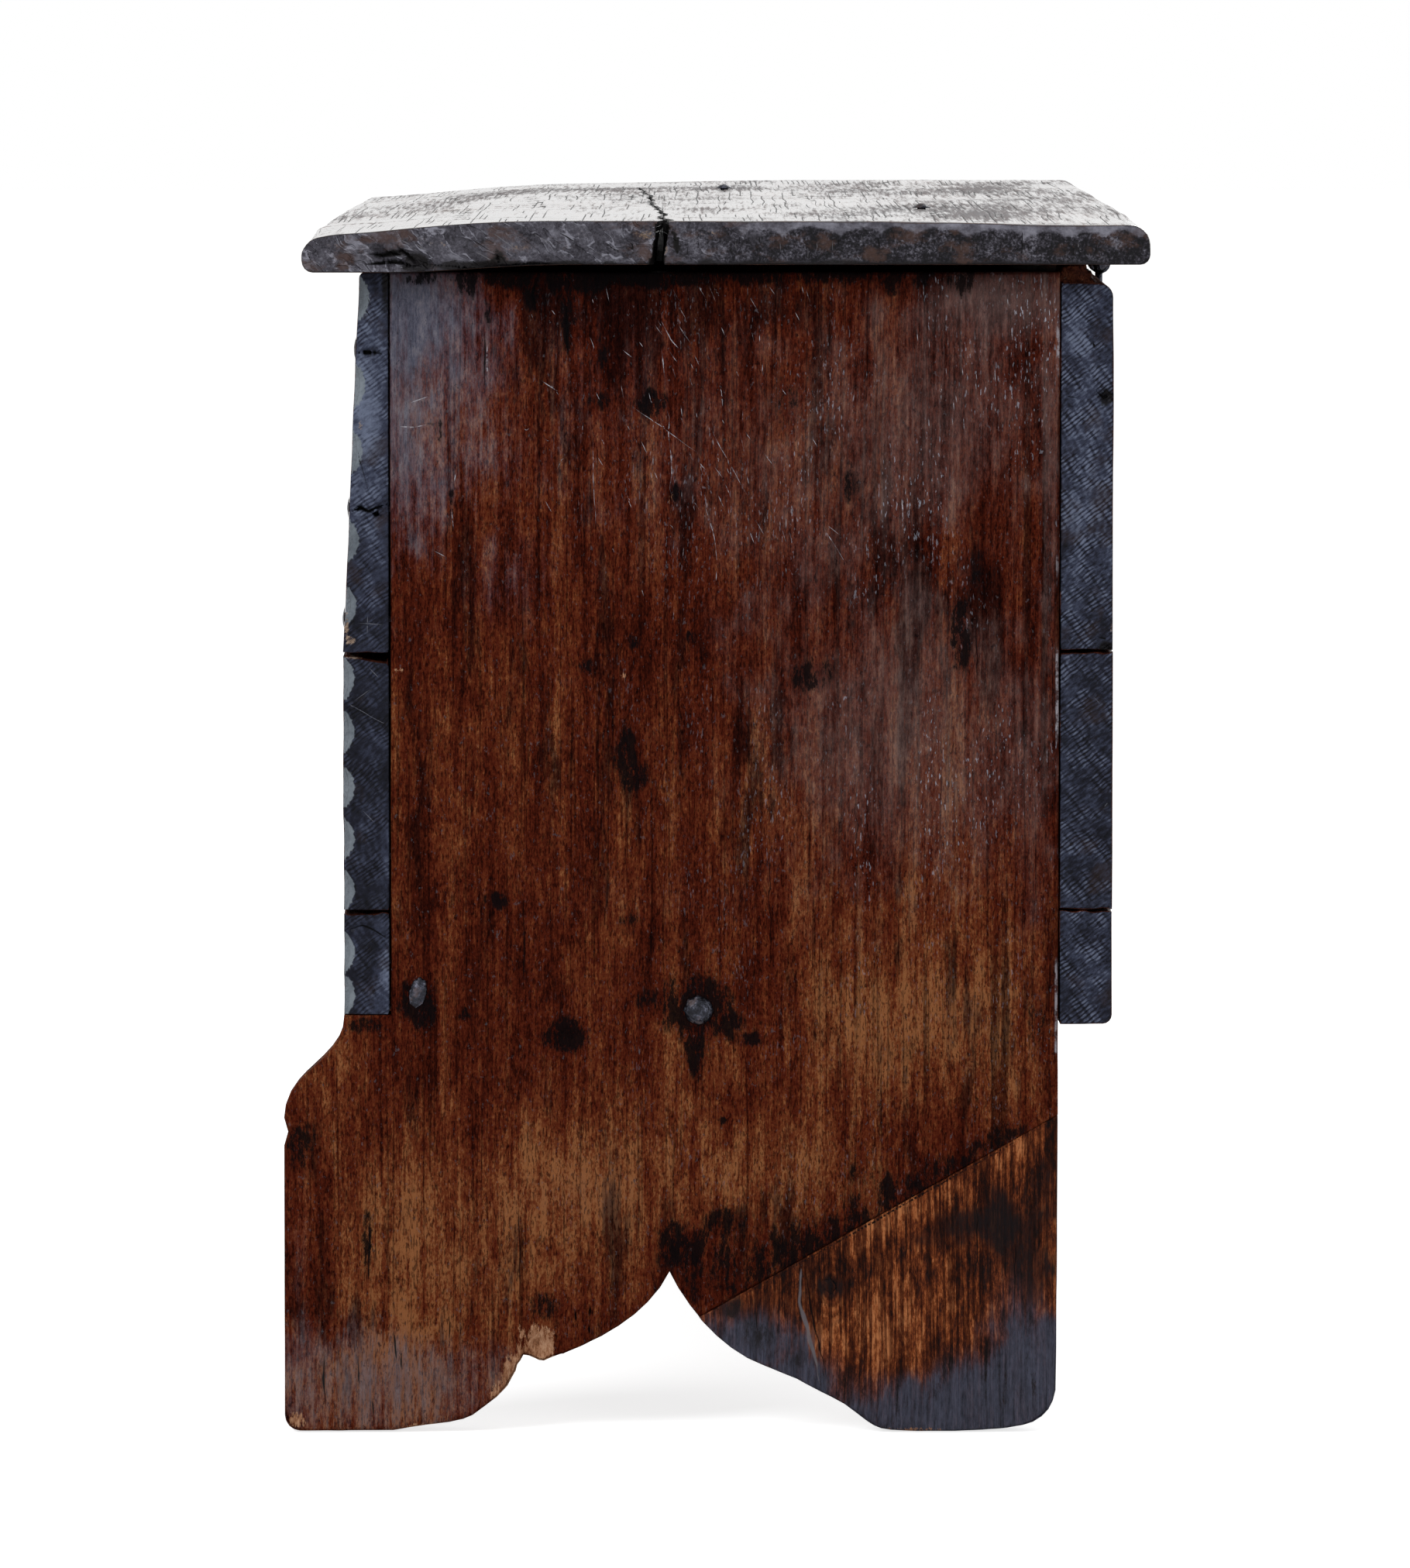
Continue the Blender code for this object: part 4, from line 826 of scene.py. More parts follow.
# Painted sheen, as on the right end.
left_end.blots("bloom", [
    (-150, 540, 24, 40, 0.55), (150, 540, 26, 40, 0.6), (-208, 80, 6, 70, 0.15),
    (20, 420, 30, 30, 0.2), (-165, 24, 50, 16, 0.4), (130, 22, 40, 16, 0.4),
], 305, 0.4)
left_end.blots("stain", [
    (-148, 215, 9, 12, 0.8), (-9, 208, 14, 13, 0.9), (-12, 186, 5, 12, 0.5), (70, 470, 10, 8, 0.7),
    # The long spot at z 578 along the top edge is a painted shadow under the lid.
    (-70, 330, 6, 8, 0.6), (120, 300, 8, 20, 0.6), (-20, 96, 13, 12, 0.5), (20, 578, 150, 5, 0.6),
    (90, 150, 12, 10, 0.4), (-174, 204, 10, 4, 0.7),
], 306, 0.6)
left_end.blots("raw", [(-210, 6, 5, 4, 0.8), (166, 4, 5, 4, 0.8), (60, 330, 2.4, 3, 0.8)], 307, 0.5)
left_end.build("end_board_left", end_wood, "end_wood")


# Front: three planks stacked in the notches of the ends, dark on their end grain, with a row of
# gouge cuts scooped across each outer arris. The upper plank thins upwards, is split across its end
# and has a nail hole; the joints have opened a little at the end.

END_FACE = 500 * MM
PLANK_RINGS = [0.5 * MM, 1.2 * MM, 2.2 * MM, 3.4 * MM]
NEAR_END = np.array([0, 0.5, 1.2, 2.2, 3.4, 4.8, 6.4, 8.2, 11, 15, 21, 30, 42, 58]) * MM


def plank_stations(node, near=NEAR_END, inset=78 * MM, count=44):
    """Places along X where a plank gets a ring of points, close together near its ends."""
    low, high = (corner.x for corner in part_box(node))
    return [*(low + near), *np.linspace(low + inset, high - inset, count), *(high - near[::-1])]


def sawn_plank(node, cuts):
    """A plank of the front or the back, with its end grain marked."""
    outline = finer(section(node, 0), 2.2 * MM)
    plank = Board(outline, plank_stations(node), 1.5 * MM, PLANK_RINGS, cuts)
    plank.looks["endgrain"] = (plank.facing != 0).astype(float)
    return plank


def lying_wood(name, pith, light, glint):
    """Old brown wood with its grain along the coffer, and blue-black, ringed end grain."""
    material, ground = finish(name)
    place = ground.warp((1.7, 5, 5), (0, 0.01, 0.01)).warp((9, 26, 26), (0, 0.0014, 0.0014))
    streak, fleck, pore, mottle, cloud = fibres(place, 0)
    x, y, z = axes(place)
    across, up = y - pith[0], z - pith[1]
    rings = ((across * across + up * up) ** 0.5).wave(0.0033)
    growth = place.noise((1.9, 235, 235), 3, 0.6).rise(0.505, 0.6)
    growth = growth * place.noise((7, 30, 30), 2).rise(0.4, 0.62)
    murk = place.noise((6.5, 40, 40), 4, 0.62).rise(0.53, 0.7)
    broad = place.noise((1.6, 8, 8), 3, 0.6)
    level = 0.44 + broad.swing(1.1) + cloud.swing(0.7) + streak.swing(1.0) + mottle.swing(1.5)
    level = level + fleck.swing(0.6)
    face = level.ramp(
        (0.0, (0.008, 0.0034, 0.0032)),
        (0.25, (0.025, 0.0064, 0.004)),
        (0.5, (0.062, 0.015, 0.0075)),
        (0.75, (0.125, 0.038, 0.018)),
        (1.0, (0.22, 0.085, 0.045)),
    )
    face = (murk * 0.7).shade(face, (0.36, 0.36, 0.42))
    face = (growth * 0.7).shade(face, (0.28, 0.28, 0.32))
    pores = pore.rise(0.54, 0.64)
    face = (pores * 0.7).shade(face, (0.32, 0.28, 0.3))
    sway = place.noise((8, 110, 110), 2) * 0.003
    along, over = y * 0.8 + z * 0.6, z * 0.8 - y * 0.6
    rows, ranks = (over + sway).wave(0.0019), (along + sway).wave(0.0046)
    speck = place.node("CombineXYZ", {}, {0: x, 1: along, 2: over}).noise((60, 240, 760), 3, 0.6)
    blotch = place.noise((8, 60, 60), 5, 0.75)
    patchy = place.noise((8, 90, 90), 2).rise(0.38, 0.62)
    cells = (rows.rise(0, 0.7) * 0.65 + ranks.rise(0, 0.4) * 0.35 - 0.5) * patchy
    grey = 0.2 + glint * (0.08 + speck.swing(0.6) + cells * 0.42) + blotch.swing(1.5)
    # Painted sheen: its mask lightens the end grain towards blue-grey.
    grey = grey + rings.swing(0.1) + place.look("bloom") * 0.6
    cross = grey.ramp(
        (0.0, (0.003, 0.003, 0.0045)),
        (0.3, (0.0095, 0.0102, 0.0172)),
        (0.6, (0.031, 0.036, 0.06)),
        (1.0, (0.115, 0.135, 0.195)),
    )
    brown = place.noise((9, 55, 55), 3).rise(0.54, 0.7) * 0.45
    cross = brown.over(cross, (0.022, 0.0125, 0.0095))
    worn = place.look("worn")
    scoop = blotch * 1.1 + speck * 0.2 - 0.15
    scoop = scoop.ramp((0.25, (0.075, 0.088, 0.105)), (0.75, (0.215, 0.245, 0.275)))
    ended = place.look("endgrain")
    wood = ended.over(face, cross)
    wood = (worn.rise(0.2, 0.8) * light).over(wood, scoop)
    stain = (place.look("stain") * 1.2 + blotch.swing(2.4) + speck.swing(0.8)).rise(0.3, 0.8)
    wood = (stain * 0.95).over(wood, (0.005, 0.0042, 0.0046))
    raw = place.look("raw")
    raw = raw.rise(0.05, 0.25) * (raw + blotch.swing(2.6) + speck.swing(1.0)).rise(0.4, 0.66)
    bare = blotch * 1.4 + speck * 0.7 - 0.55
    bare = bare.ramp((0.3, (0.06, 0.032, 0.022)), (0.72, (0.36, 0.27, 0.205)))
    wood = raw.over(wood, bare)
    wood = (place.look("scratch").rise(0.15, 0.8) * 0.8).over(wood, (0.115, 0.12, 0.145))
    wood = place.look("crack").rise(0.1, 0.7).over(wood, (0.003, 0.0027, 0.003))
    rough = 0.55 - ended * 0.08 + mottle.swing(0.4) + raw * 0.2
    grain = streak * 0.9 + fleck * 0.6 - pores * 0.45 + mottle * 0.7 - growth * 0.3
    ends = speck * 0.4 + cells * 0.9 + rings * 0.2 + blotch * 0.8
    height = (1 - ended) * grain + ended * (1 - worn * 0.75) * ends
    surface(material, wood, rough, height, 0.0005, 0.06)
    return material


def front_edge(board):
    """How far forward the front face of a plank lies, at the height of each point."""
    ahead = board.outline[board.outward[:, 0] < -0.8]
    ahead = ahead[np.argsort(ahead[:, 1])]
    return np.interp(board.points[:, 2], ahead[:, 1], ahead[:, 0])


def gouge(board, front, heights, radius=18.5 * MM, depth=3.9 * MM):
    """Scoops of a gouge across both outer upright arrises."""
    worn = board.looks.setdefault("worn", np.zeros(len(board.points)))
    for end in (-1, 1):
        for number, height in enumerate(heights):
            p = board.points
            reach = p[:, 0] * end - END_FACE
            out = (reach - (p[:, 1] - front)) / math.sqrt(2)
            rise = (p[:, 2] - height * MM) * (1 + 0.06 * math.sin(7 * number + end))
            bed = radius - depth - np.sqrt(np.maximum(radius**2 - rise**2, 0))
            near = (np.abs(rise) < radius) & (reach > -30 * MM) & (p[:, 1] - front < 30 * MM)
            over = np.maximum(np.where(near, out - bed, 0), 0)
            p[:, 0] -= over * end / math.sqrt(2)
            p[:, 1] += over / math.sqrt(2)
            worn += step_up(over, 0, 0.25 * MM)


def slanting(points, angle, size, seed):
    """Lumps drawn out along a slant in the end face."""
    c, s = math.cos(angle), math.sin(angle)
    x, y, z = points.T
    return lumps(np.column_stack([x, y * c + z * s, z * c - y * s]), size, seed)


def open_joint(board, side, depth):
    """Wears back the top (1) or foot (-1) of a plank near its right end, by a depth per point."""
    facing = board.sideways[:, 1] * side > 0.6
    fade = 1 - step_up(END_FACE - board.points[:, 0], 6 * MM, 45 * MM)
    near = np.where((board.facing == 1) & ~facing, np.clip(1 - board.depth / (6 * MM), 0, 1), 0)
    top = board.outline[:, 1].max() if side > 0 else board.outline[:, 1].min()
    near = np.where(np.abs(board.points[:, 2] - top) < 7 * MM, near, 0)
    board.points[:, 2] -= side * depth * fade * np.maximum(facing, near)


def one_end(board, looks):
    """Keeps looks to the right-hand end of a board."""
    for look in looks:
        if look in board.looks:
            board.looks[look] *= step_up(board.points[:, 0], 470 * MM, 492 * MM)


front_wood = lying_wood("front_wood", (-0.1, 0.3), 0.95, 1.0)
FRONT = {
    "lower": ((219, 240.7), cracks([
        ([(-181, 252.5), (-175, 253.5), (-169, 250.5), (-163.5, 247)], 0.9, 2.5, 0.8, 401),
    ])),
    "middle": ((271.7, 297.2, 323.1, 350.6, 377.3), [
        cut([(-183, 365), (-172, 358.5), (-163, 354.5)], 0.35, 0.4, "scratch", 0.4, 402),
        cut([(-173, 384), (-167, 377)], 0.4, 0.4, "scratch", 0.4, 403),
        cut([(-176, 312), (-169, 305)], 0.4, 0.4, "scratch", 0.4, 404),
        cut([(-172, 372), (-180, 366)], 0.3, 0.3, "scratch", 0.4, 405),
    ]),
    "upper": ((413, 445.5, 489.5, 522.5, 566), [
        cut([
            (-183, 461.6), (-179.5, 460.4), (-176, 462.2), (-172, 460), (-168, 461.8),
            (-163, 463.5),
        ], 1.5, 8.0, "crack", 0.6, 406),
        cut([(-170.5, 459.5), (-166.5, 458.6)], 1.9, 8, "crack", 0.5, 407),
        cut([(-178, 405), (-163.5, 404)], 0.35, 0.5, "scratch", 0.3, 408),
        cut([(-172.5, 409), (-173, 397.5)], 0.4, 0.4, "scratch", 0.3, 409),
        cut([(-170, 539), (-163.5, 537.6)], 0.6, 1.2, "crack", 0.4, 410),
        cut([(-180, 539.4), (-173, 539.2), (-166.8, 539)], 4.6, 7, "crack", 0.2, 414),
        cut([(-174, 562), (-170.5, 556.5)], 0.3, 0.4, "crack", 0.3, 411),
        cut([(-174.5, 569), (-170, 562)], 0.3, 0.4, "crack", 0.3, 412),
        cut([(-181, 492), (-176, 484), (-172, 470)], 0.35, 0.6, "crack", 0.4, 413),
    ]),
}
for number, (band, (heights, cuts)) in enumerate(FRONT.items()):
    node = "front_plank_" + band
    plank = sawn_plank(node, cuts)
    place, seed = plank.points, 420 + 10 * number
    front = front_edge(plank)
    plank.soften((1.0 + 0.6 * lumps(place, 14, seed)) * MM)
    gouge(plank, front, heights)
    rough = 0.32 * slanting(place, 0.6, (1000, 1.9, 5.5), seed + 1)
    rough = rough + 0.35 * lumps(place, (1000, 9, 12), seed + 2)
    rough = rough * (1 - 0.9 * np.clip(plank.looks["worn"], 0, 1)) * step_up(plank.depth, 0, 2 * MM)
    place[:, 0] += plank.facing * rough * MM
    plank.push(0.3 * MM * lumps(place, (160, 30, 30), seed + 3) * (plank.facing == 0))
    fade = 1 - step_up(END_FACE - place[:, 0], 10 * MM, 70 * MM)
    shrink = np.where(plank.sideways[:, 0] > 0.6, fade, 0)
    place[:, 1] -= 0.9 * MM * shrink * (1 + 0.5 * lumps(place, 20, seed + 4))
    if band == "middle":
        wedge = step_up(place[:, 1], -186 * MM, -162 * MM)
        open_joint(plank, 1, MM * (0.8 + 3.4 * wedge + 0.5 * lumps(place, 4, seed + 5)))
        plank.blots("raw", [(-178, 388, 5, 2, 0.9)], seed + 6)
    if band == "upper":
        # The spot at z 572, at the top of the joint beside the end board, is a painted shadow in
        # the gap.
        plank.blots("stain", [(-169, 539.3, 3, 3, 0.7), (-163.5, 572, 2.5, 14, 0.8)], seed + 6, 0.2)
        plank.blots("raw", [
            (-183, 403, 1.4, 6, 0.95), (-180.5, 396, 2.2, 2.2, 0.8), (-176, 503, 1.6, 3.5, 0.6),
        ], seed + 7)
        open_joint(plank, -1, MM * (0.5 + 0.5 * lumps(place, 4, seed + 8)))
    if band == "lower":
        open_joint(plank, 1, MM * (1.4 + 1.3 * lumps(place, 4, seed + 5)))
        plank.blots("bloom", [(-164, 230, 4, 22, 0.8)], seed + 6)
    # Painted sheen on the end grain, here and on the lower plank above.
    plank.blots("bloom", [
        (-173, 510, 14, 62, 0.9), (-170, 440, 10, 25, 0.2), (-163, 290, 3, 20, 0.4),
    ], seed + 9)
    one_end(plank, ("raw", "stain"))
    plank.build(node, front_wood, "front_wood")


# Back: three planks stacked and nailed to the rear edges of the ends, their end grain black and
# ridged by the growth rings, pitted and rounded off by wear. A splinter is left on the top edge.

back_wood = lying_wood("back_wood", (0.1, 0.46), 0.9, 1.8)
BACK = {
    "lower": [cut([(196, 236), (193, 235.5)], 0.5, 1, "crack", 0.2, 501)],
    "middle": [
        cut([(193.5, 313), (196, 316)], 0.3, 0.4, "scratch", 0.3, 502),
        cut([(188, 368), (192, 364)], 0.3, 0.4, "scratch", 0.3, 503),
    ],
    "upper": [
        cut([(189.5, 519.5), (193, 516), (196.5, 518)], 1, 3, "crack", 0.3, 504),
        cut([(187.5, 544), (188.5, 541.5)], 0.8, 1.5, "crack", 0.2, 505),
        cut([(173, 518), (180, 516.5)], 0.4, 0.8, "crack", 0.4, 506),
        cut([(190, 398), (196, 396.5)], 0.8, 2, "crack", 0.3, 507),
    ],
}
PITH = (130 * MM, 500 * MM)
for number, (band, cuts) in enumerate(BACK.items()):
    node = "back_plank_" + band
    plank = sawn_plank(node, cuts)
    place, seed = plank.points, 520 + 10 * number
    plank.soften((1.7 + 0.9 * lumps(place, 14, seed)) * MM)
    away = np.hypot(place[:, 1] - PITH[0], place[:, 2] - PITH[1])
    ridges = np.sin(2 * math.pi * (away + 1.2 * MM * lumps(place, 16, seed + 1)) / (3.4 * MM))
    rough = 0.16 * ridges + 0.36 * lumps(place, (1000, 2.4, 2.8), seed + 2)
    rough = rough + 0.35 * lumps(place, (1000, 9, 12), seed + 3)
    place[:, 0] += plank.facing * rough * step_up(plank.depth, 0, 2 * MM) * MM
    plank.push(0.3 * MM * lumps(place, (160, 30, 30), seed + 4) * (plank.facing == 0))
    fade = 1 - step_up(np.max(place[:, 0]) - place[:, 0], 8 * MM, 50 * MM)
    shrink = np.where(plank.sideways[:, 0] < -0.6, fade, 0)
    place[:, 1] += 0.6 * MM * shrink * (1 + 0.9 * lumps(place, 12, seed + 5))
    if band != "lower":
        open_joint(plank, -1, MM * (0.5 + 0.9 * lumps(place, 5, seed + 6)))
    if band != "upper":
        open_joint(plank, 1, MM * (0.5 + 0.9 * lumps(place, 5, seed + 7)))
    if band == "upper":
        dents(plank, [(194.5, 517.8, 3.4, 3, 3), (195, 392.5, 3.5, 2, 3)])
        plank.blots("stain", [
            (194.5, 517.8, 4.5, 4, 0.9), (195, 392.5, 4.5, 3, 0.9),
        ], seed + 8, 0.3)
        plank.blots("raw", [(197, 403, 1.6, 4, 0.8)], seed + 9)
    # Painted sheen on the end grain.
    plank.blots("bloom", [
        (178, 555, 14, 20, 0.42), (184, 505, 14, 34, 0.4), (186, 455, 14, 34, 0.36),
        (184, 230, 14, 14, 0.2),
    ], seed + 10)
    one_end(plank, ("raw", "stain"))
    plank.build(node, back_wood, "back_wood")

splinter_outline = np.array([
    (170.5, 572.4), (188.5, 571.8), (189.4, 574.4), (187.4, 576.4), (186.8, 579), (184.6, 579.8),
    (184, 582.4), (176, 582.8), (172, 581.2), (170.6, 577),
]) * MM
stations = np.linspace(430 * MM, 492.5 * MM, 40)
splinter = Board(finer(splinter_outline, 1.6 * MM), stations, 1.6 * MM, [0.6 * MM, 1.4 * MM])
place = splinter.points
splinter.soften(1.2 * MM * np.ones(len(place)))
splinter.push(0.9 * MM * lumps(place, (9, 3, 3), 560))
splinter.push(0.5 * MM * lumps(place, (3, 1.6, 1.6), 561))
splinter.looks["raw"] = 0.08 + 0.3 * lumps(place, (12, 4, 4), 562)
splinter.build("splinter", back_wood, "back_wood", replaced=False)


# Bottom: one board of plain brown wood, let into grooves in the ends and held by the nails driven
# through them. It is seen with the lid up and from below, and was left rough from the saw.

outline = finer(section("bottom_board", 0), 5 * MM)
bottom = Board(outline, plank_stations("bottom_board"), 4 * MM, [0.6 * MM, 1.6 * MM])
place = bottom.points
bottom.soften(np.full(len(place), 0.8 * MM))
bottom.push(-0.12 * MM * (1 + lumps(place, (9, 160, 1000), 570)) * (bottom.facing == 0))
bottom.push(-0.25 * MM * (1 + lumps(place, (180, 40, 1000), 571)) * (bottom.facing == 0))
bottom.build("bottom_board", lying_wood("bottom_wood", (0.02, 0.35), 0.9, 1.0), "bottom_wood")


# Ironwork: nails with hammered rose heads, and two strap hinges of flat bar rolled round their
# pins. All of it is forged by hand, black with scale and brown where rust has started.


def forged_iron(name, rust):
    """Black forged iron, scaled and pitted, brown with rust in its hollows."""
    material, place = finish(name)
    scale = place.noise((210, 210, 210), 4, 0.6)
    pits = place.noise((700, 700, 700), 2)
    patch = place.noise((55, 55, 55), 3)
    metal = (scale * 1.1 + pits * 0.7 - 0.4).ramp(
        (0.28, (0.008, 0.008, 0.011)), (0.52, (0.02, 0.021, 0.029)), (0.8, (0.085, 0.09, 0.12))
    )
    rusted = (patch + scale.swing(1.2)).rise(0.54, 0.72) * rust
    metal = rusted.over(metal, (0.052, 0.021, 0.011))
    rough = 0.36 + rusted * 0.4 + scale.swing(0.5)
    height = scale * 1.6 + pits * 0.8
    surface(material, metal, rough, height, 0.0005, 0.5, metal=0.8 - rusted * 0.75)
    return material


def forge(name, reach, dent, seed, iron, bend=None):
    """A forged piece: its CAD shape, meshed to a reach, smooth-shaded below 50 degrees, with hammer
    marks.
    """
    solid = bmesh.new()
    solid.from_mesh(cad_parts[name].data)
    bmesh.ops.remove_doubles(solid, verts=solid.verts, dist=1e-6)
    for _ in range(6):
        bmesh.ops.triangulate(solid, faces=solid.faces)
        long = [edge for edge in solid.edges if edge.calc_length() > reach]
        bmesh.ops.subdivide_edges(solid, edges=long, cuts=1)
    bmesh.ops.triangulate(solid, faces=solid.faces)
    if bend:
        for vert in solid.verts:
            vert.co = bend(vert.co)
    solid.normal_update()
    place = np.array([vert.co for vert in solid.verts])
    marks = 0.5 + 0.32 * lumps(place, 2.6, seed) + 0.18 * lumps(place, 1.1, seed + 1)
    for vert, mark in zip(solid.verts, marks):
        vert.co -= vert.normal * dent * mark
    mesh = bpy.data.meshes.new(name)
    solid.to_mesh(mesh)
    solid.free()
    mesh.shade_smooth()
    mesh.set_sharp_from_angle(angle=math.radians(50))
    mesh.materials.clear()
    mesh.materials.append(iron)
    dress(mesh, name, "_forged", "lid" if "lid" in name else "carcase")


BENT_NAIL = (-148.2 * MM, 219.4 * MM)


def bent_over(point):
    """The front nail of the right end: its head is worn to a tongue, bent down and sunk in."""
    if point.x < END_FACE - 0.2 * MM:
        return point
    y, z = BENT_NAIL
    across, up = point.y - y, point.z - z
    rise = (point.x - END_FACE) * (0.45 + 22 * up)
    return Vector((END_FACE - 1.0 * MM + rise, y + across * 0.62 + up * 0.15, z + up * 1.05))


nail_iron = forged_iron("nail_iron", 0.5)
hinge_iron = forged_iron("hinge_iron", 0.8)
for number, name in enumerate(sorted(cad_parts)):
    if name.startswith("hinge"):
        forge(name, 7 * MM, 0.22 * MM, 700 + 3 * number, hinge_iron)
    elif "nail" in name:
        bend = bent_over if name == "end_nail_right_1" else None
        forge(name, 2.2 * MM, 0.4 * MM, 700 + 3 * number, nail_iron, bend)


# Lid: one plank, waxed and dark, that has cupped at the front and worn to a thick round nose. Its
# top is finely checked along the grain, a split runs in from the right end, and the end grain is
# bruised, broken underneath at the front and polished along the top edge at the back.


def lid_finish():
    """Dark polished wood with checks along its top, and brown-grey bruised end grain."""
    material, ground = finish("lid_wood")
    place = ground.warp((1.7, 5, 5), (0, 0.008, 0.008)).warp((9, 26, 26), (0, 0.0014, 0.0014))
    streak, _, _, mottle, cloud = fibres(place, 0)
    _, y, z = axes(ground)
    check = place.look("check").rise(0.6, 0.97)
    dull = (place.noise((2.6, 9, 3), 3, 0.6) + streak.swing(0.7) + y * 0.3).rise(0.44, 0.66)
    under = place.look("under")
    row = place.noise((6, 1.2, 1), 3, 0.6).ridge(0.003, 0.013)
    row = (1 - under) * row * (0.25 + place.noise((9, 300, 40), 2).rise(0.47, 0.56) * 0.75)
    level = 0.4 + cloud.swing(0.8) + streak.swing(1.0) + mottle.swing(1.8)
    top = level.ramp(
        (0.0, (0.0085, 0.0042, 0.0036)),
        (0.3, (0.027, 0.0105, 0.007)),
        (0.6, (0.064, 0.0255, 0.015)),
        (1.0, (0.15, 0.07, 0.043)),
    )
    top = (dull * 0.45).over(top, (0.062, 0.06, 0.072))
    top = (check * 0.95).over(top, (0.003, 0.0026, 0.0028))
    speck = place.noise((60, 720, 720), 3, 0.7)
    blotch = place.noise((8, 75, 95), 6, 0.82)
    along, down = y * 0.84 - z * 0.54, y * 0.54 + z * 0.84
    bend = place.noise((8, 60, 60), 2).swing(0.016)
    slant = place.node("CombineXYZ", {}, {1: along, 2: down + bend})
    flow = slant.noise((0, 36, 150), 2, 0.55)
    crest = flow.ridge(0.004, 0.03)
    ledge = flow.rise(0.46, 0.51)
    rear = (y + cloud.swing(0.1)).rise(-0.06, 0.04)
    worn = place.look("worn")
    grey = 0.46 - rear * 0.26 + speck.swing(0.9 + rear * 1.4) + blotch.swing(1.3 + rear * 2.0)
    # Painted light on the front half: each step is lighter on one side, as painted shading, and its
    # ridge lighter still, as a painted highlight.
    grey = grey + (1 - rear) * (ledge * 0.14 + crest * blotch.rise(0.42, 0.54) * 0.6)
    # The worn look lightens the polished band at the top, and the ridges as a painted highlight.
    cross = (grey * (1 - worn) + worn * (0.76 + blotch.swing(1.6))).ramp(
        (0.0, (0.0045, 0.0042, 0.0055)),
        (0.3, (0.018, 0.0165, 0.0215)),
        (0.6, (0.064, 0.061, 0.076)),
        (1.0, (0.2, 0.198, 0.235)),
    )
    brown = place.noise((10, 42, 66), 5, 0.65).rise(0.52, 0.64)
    cross = (brown * (0.7 - worn * 0.35)).over(cross, (0.06, 0.033, 0.026))
    ended = place.look("endgrain")
    wood = ended.over(top, cross)
    stain = (place.look("stain") * 1.2 + blotch.swing(2.4) + speck.swing(0.8)).rise(0.3, 0.8)
    wood = (stain * 0.95).over(wood, (0.005, 0.004, 0.0042))
    raw = place.look("raw")
    raw = raw.rise(0.05, 0.25) * (raw + blotch.swing(2.4) + speck.swing(0.9)).rise(0.4, 0.72)
    wood = (raw * 0.85).over(wood, (0.175, 0.12, 0.08))
    wood = (place.look("scratch").rise(0.15, 0.8) * 0.7).over(wood, (0.15, 0.145, 0.16))
    crack = place.look("crack").rise(0.1, 0.7)
    wood = crack.over(wood, (0.003, 0.0025, 0.0026))
    polish = (1 - ended) * (1 - check) * (1 - crack)
    polish = polish * (1 - dull * 0.92) * (1 - row * 0.6) * (1 - under * 0.9)
    rough = 0.56 - polish * 0.26 + (1 - ended) * mottle.swing(0.3)
    rough = rough - ended * (worn * 0.14 + (1 - rear) * 0.12)
    grain = streak * 0.1 + mottle * 0.12 - check * 1.2
    ends = (speck * 1.2 + blotch * 2.0) * (1 - worn * 0.7) + (1 - rear) * (ledge * 0.7 + crest)
    height = (1 - ended) * grain + ended * ends
    surface(material, wood, rough, height, 0.0005, 0.1, polish * 0.95, 0.13)
    return material


lid_cuts = cracks([
    ([(-171, 589.2), (-165, 588.4), (-160, 589.4), (-155, 587.8)], 2.6, 7, 0.8, 601),
    ([(-157, 592), (-153, 589), (-151, 586.6), (-148, 584)], 3, 8, 0.8, 602),
    ([(-173, 583), (-162, 584.6), (-152, 583), (-147, 583.4)], 2.2, 6, 0.8, 607),
    ([(-146, 583.4), (-134, 581.8), (-120, 581.8), (-100, 582.6), (-78, 584)], 1, 3.5, 1, 608),
    ([(-107.6, 588), (-107, 583)], 1.5, 5, 0.4, 603),
    ([(-203.5, 593), (-201, 585)], 0.5, 1, 0.5, 604),
    ([(151.7, 602.5), (151.4, 586.5)], 0.35, 1.2, 0.3, 605),
    ([(-42.5, 594.5), (-40.2, 592.5), (-42, 590.5)], 0.8, 1.2, 0.2, 606),
])
chance = np.random.default_rng(620)
for number in range(12):
    y, z = chance.uniform(-165, -45), chance.uniform(589, 600)
    run = chance.uniform(4, 13)
    kind = "scratch" if number % 3 else "crack"
    lid_cuts.append(cut([(y, z), (y + run, z - run * 0.62)], 0.45, 0.5, kind, 0.4, 630 + number))
for number in range(34):
    y, z = chance.uniform(-20, 195), chance.uniform(592, 599)
    path = [(y, z), (y + chance.uniform(-0.6, 0.6), z - chance.uniform(3, 7))]
    kind = "scratch" if number % 2 else "crack"
    lid_cuts.append(cut(path, 0.35, 0.5, kind, 0.3, 670 + number))
LID_TOP = 604.9 * MM
stations = plank_stations("lid", NEAR_END[:12], 40 * MM, 96)
lid = Board(finer(section("lid", 0), 1.5 * MM), stations, 1.15 * MM, PLANK_RINGS, lid_cuts)
place = lid.points
skin, crown = lid.facing == 0, lid.sideways[:, 1] > 0.75
lid.looks["under"] = 1.0 * (lid.sideways[:, 1] < -0.5)
lid.looks["endgrain"] = 1.0 - skin
rear = step_up(place[:, 1], -40 * MM, 40 * MM)
upper = step_up(place[:, 2], 590 * MM, 598 * MM)
strokes = place[:, 1] / (21 * MM) + 0.5 * lumps(place, (1000, 40, 1000), 600)
scallop = np.abs(np.sin(math.pi * strokes)) ** 0.7
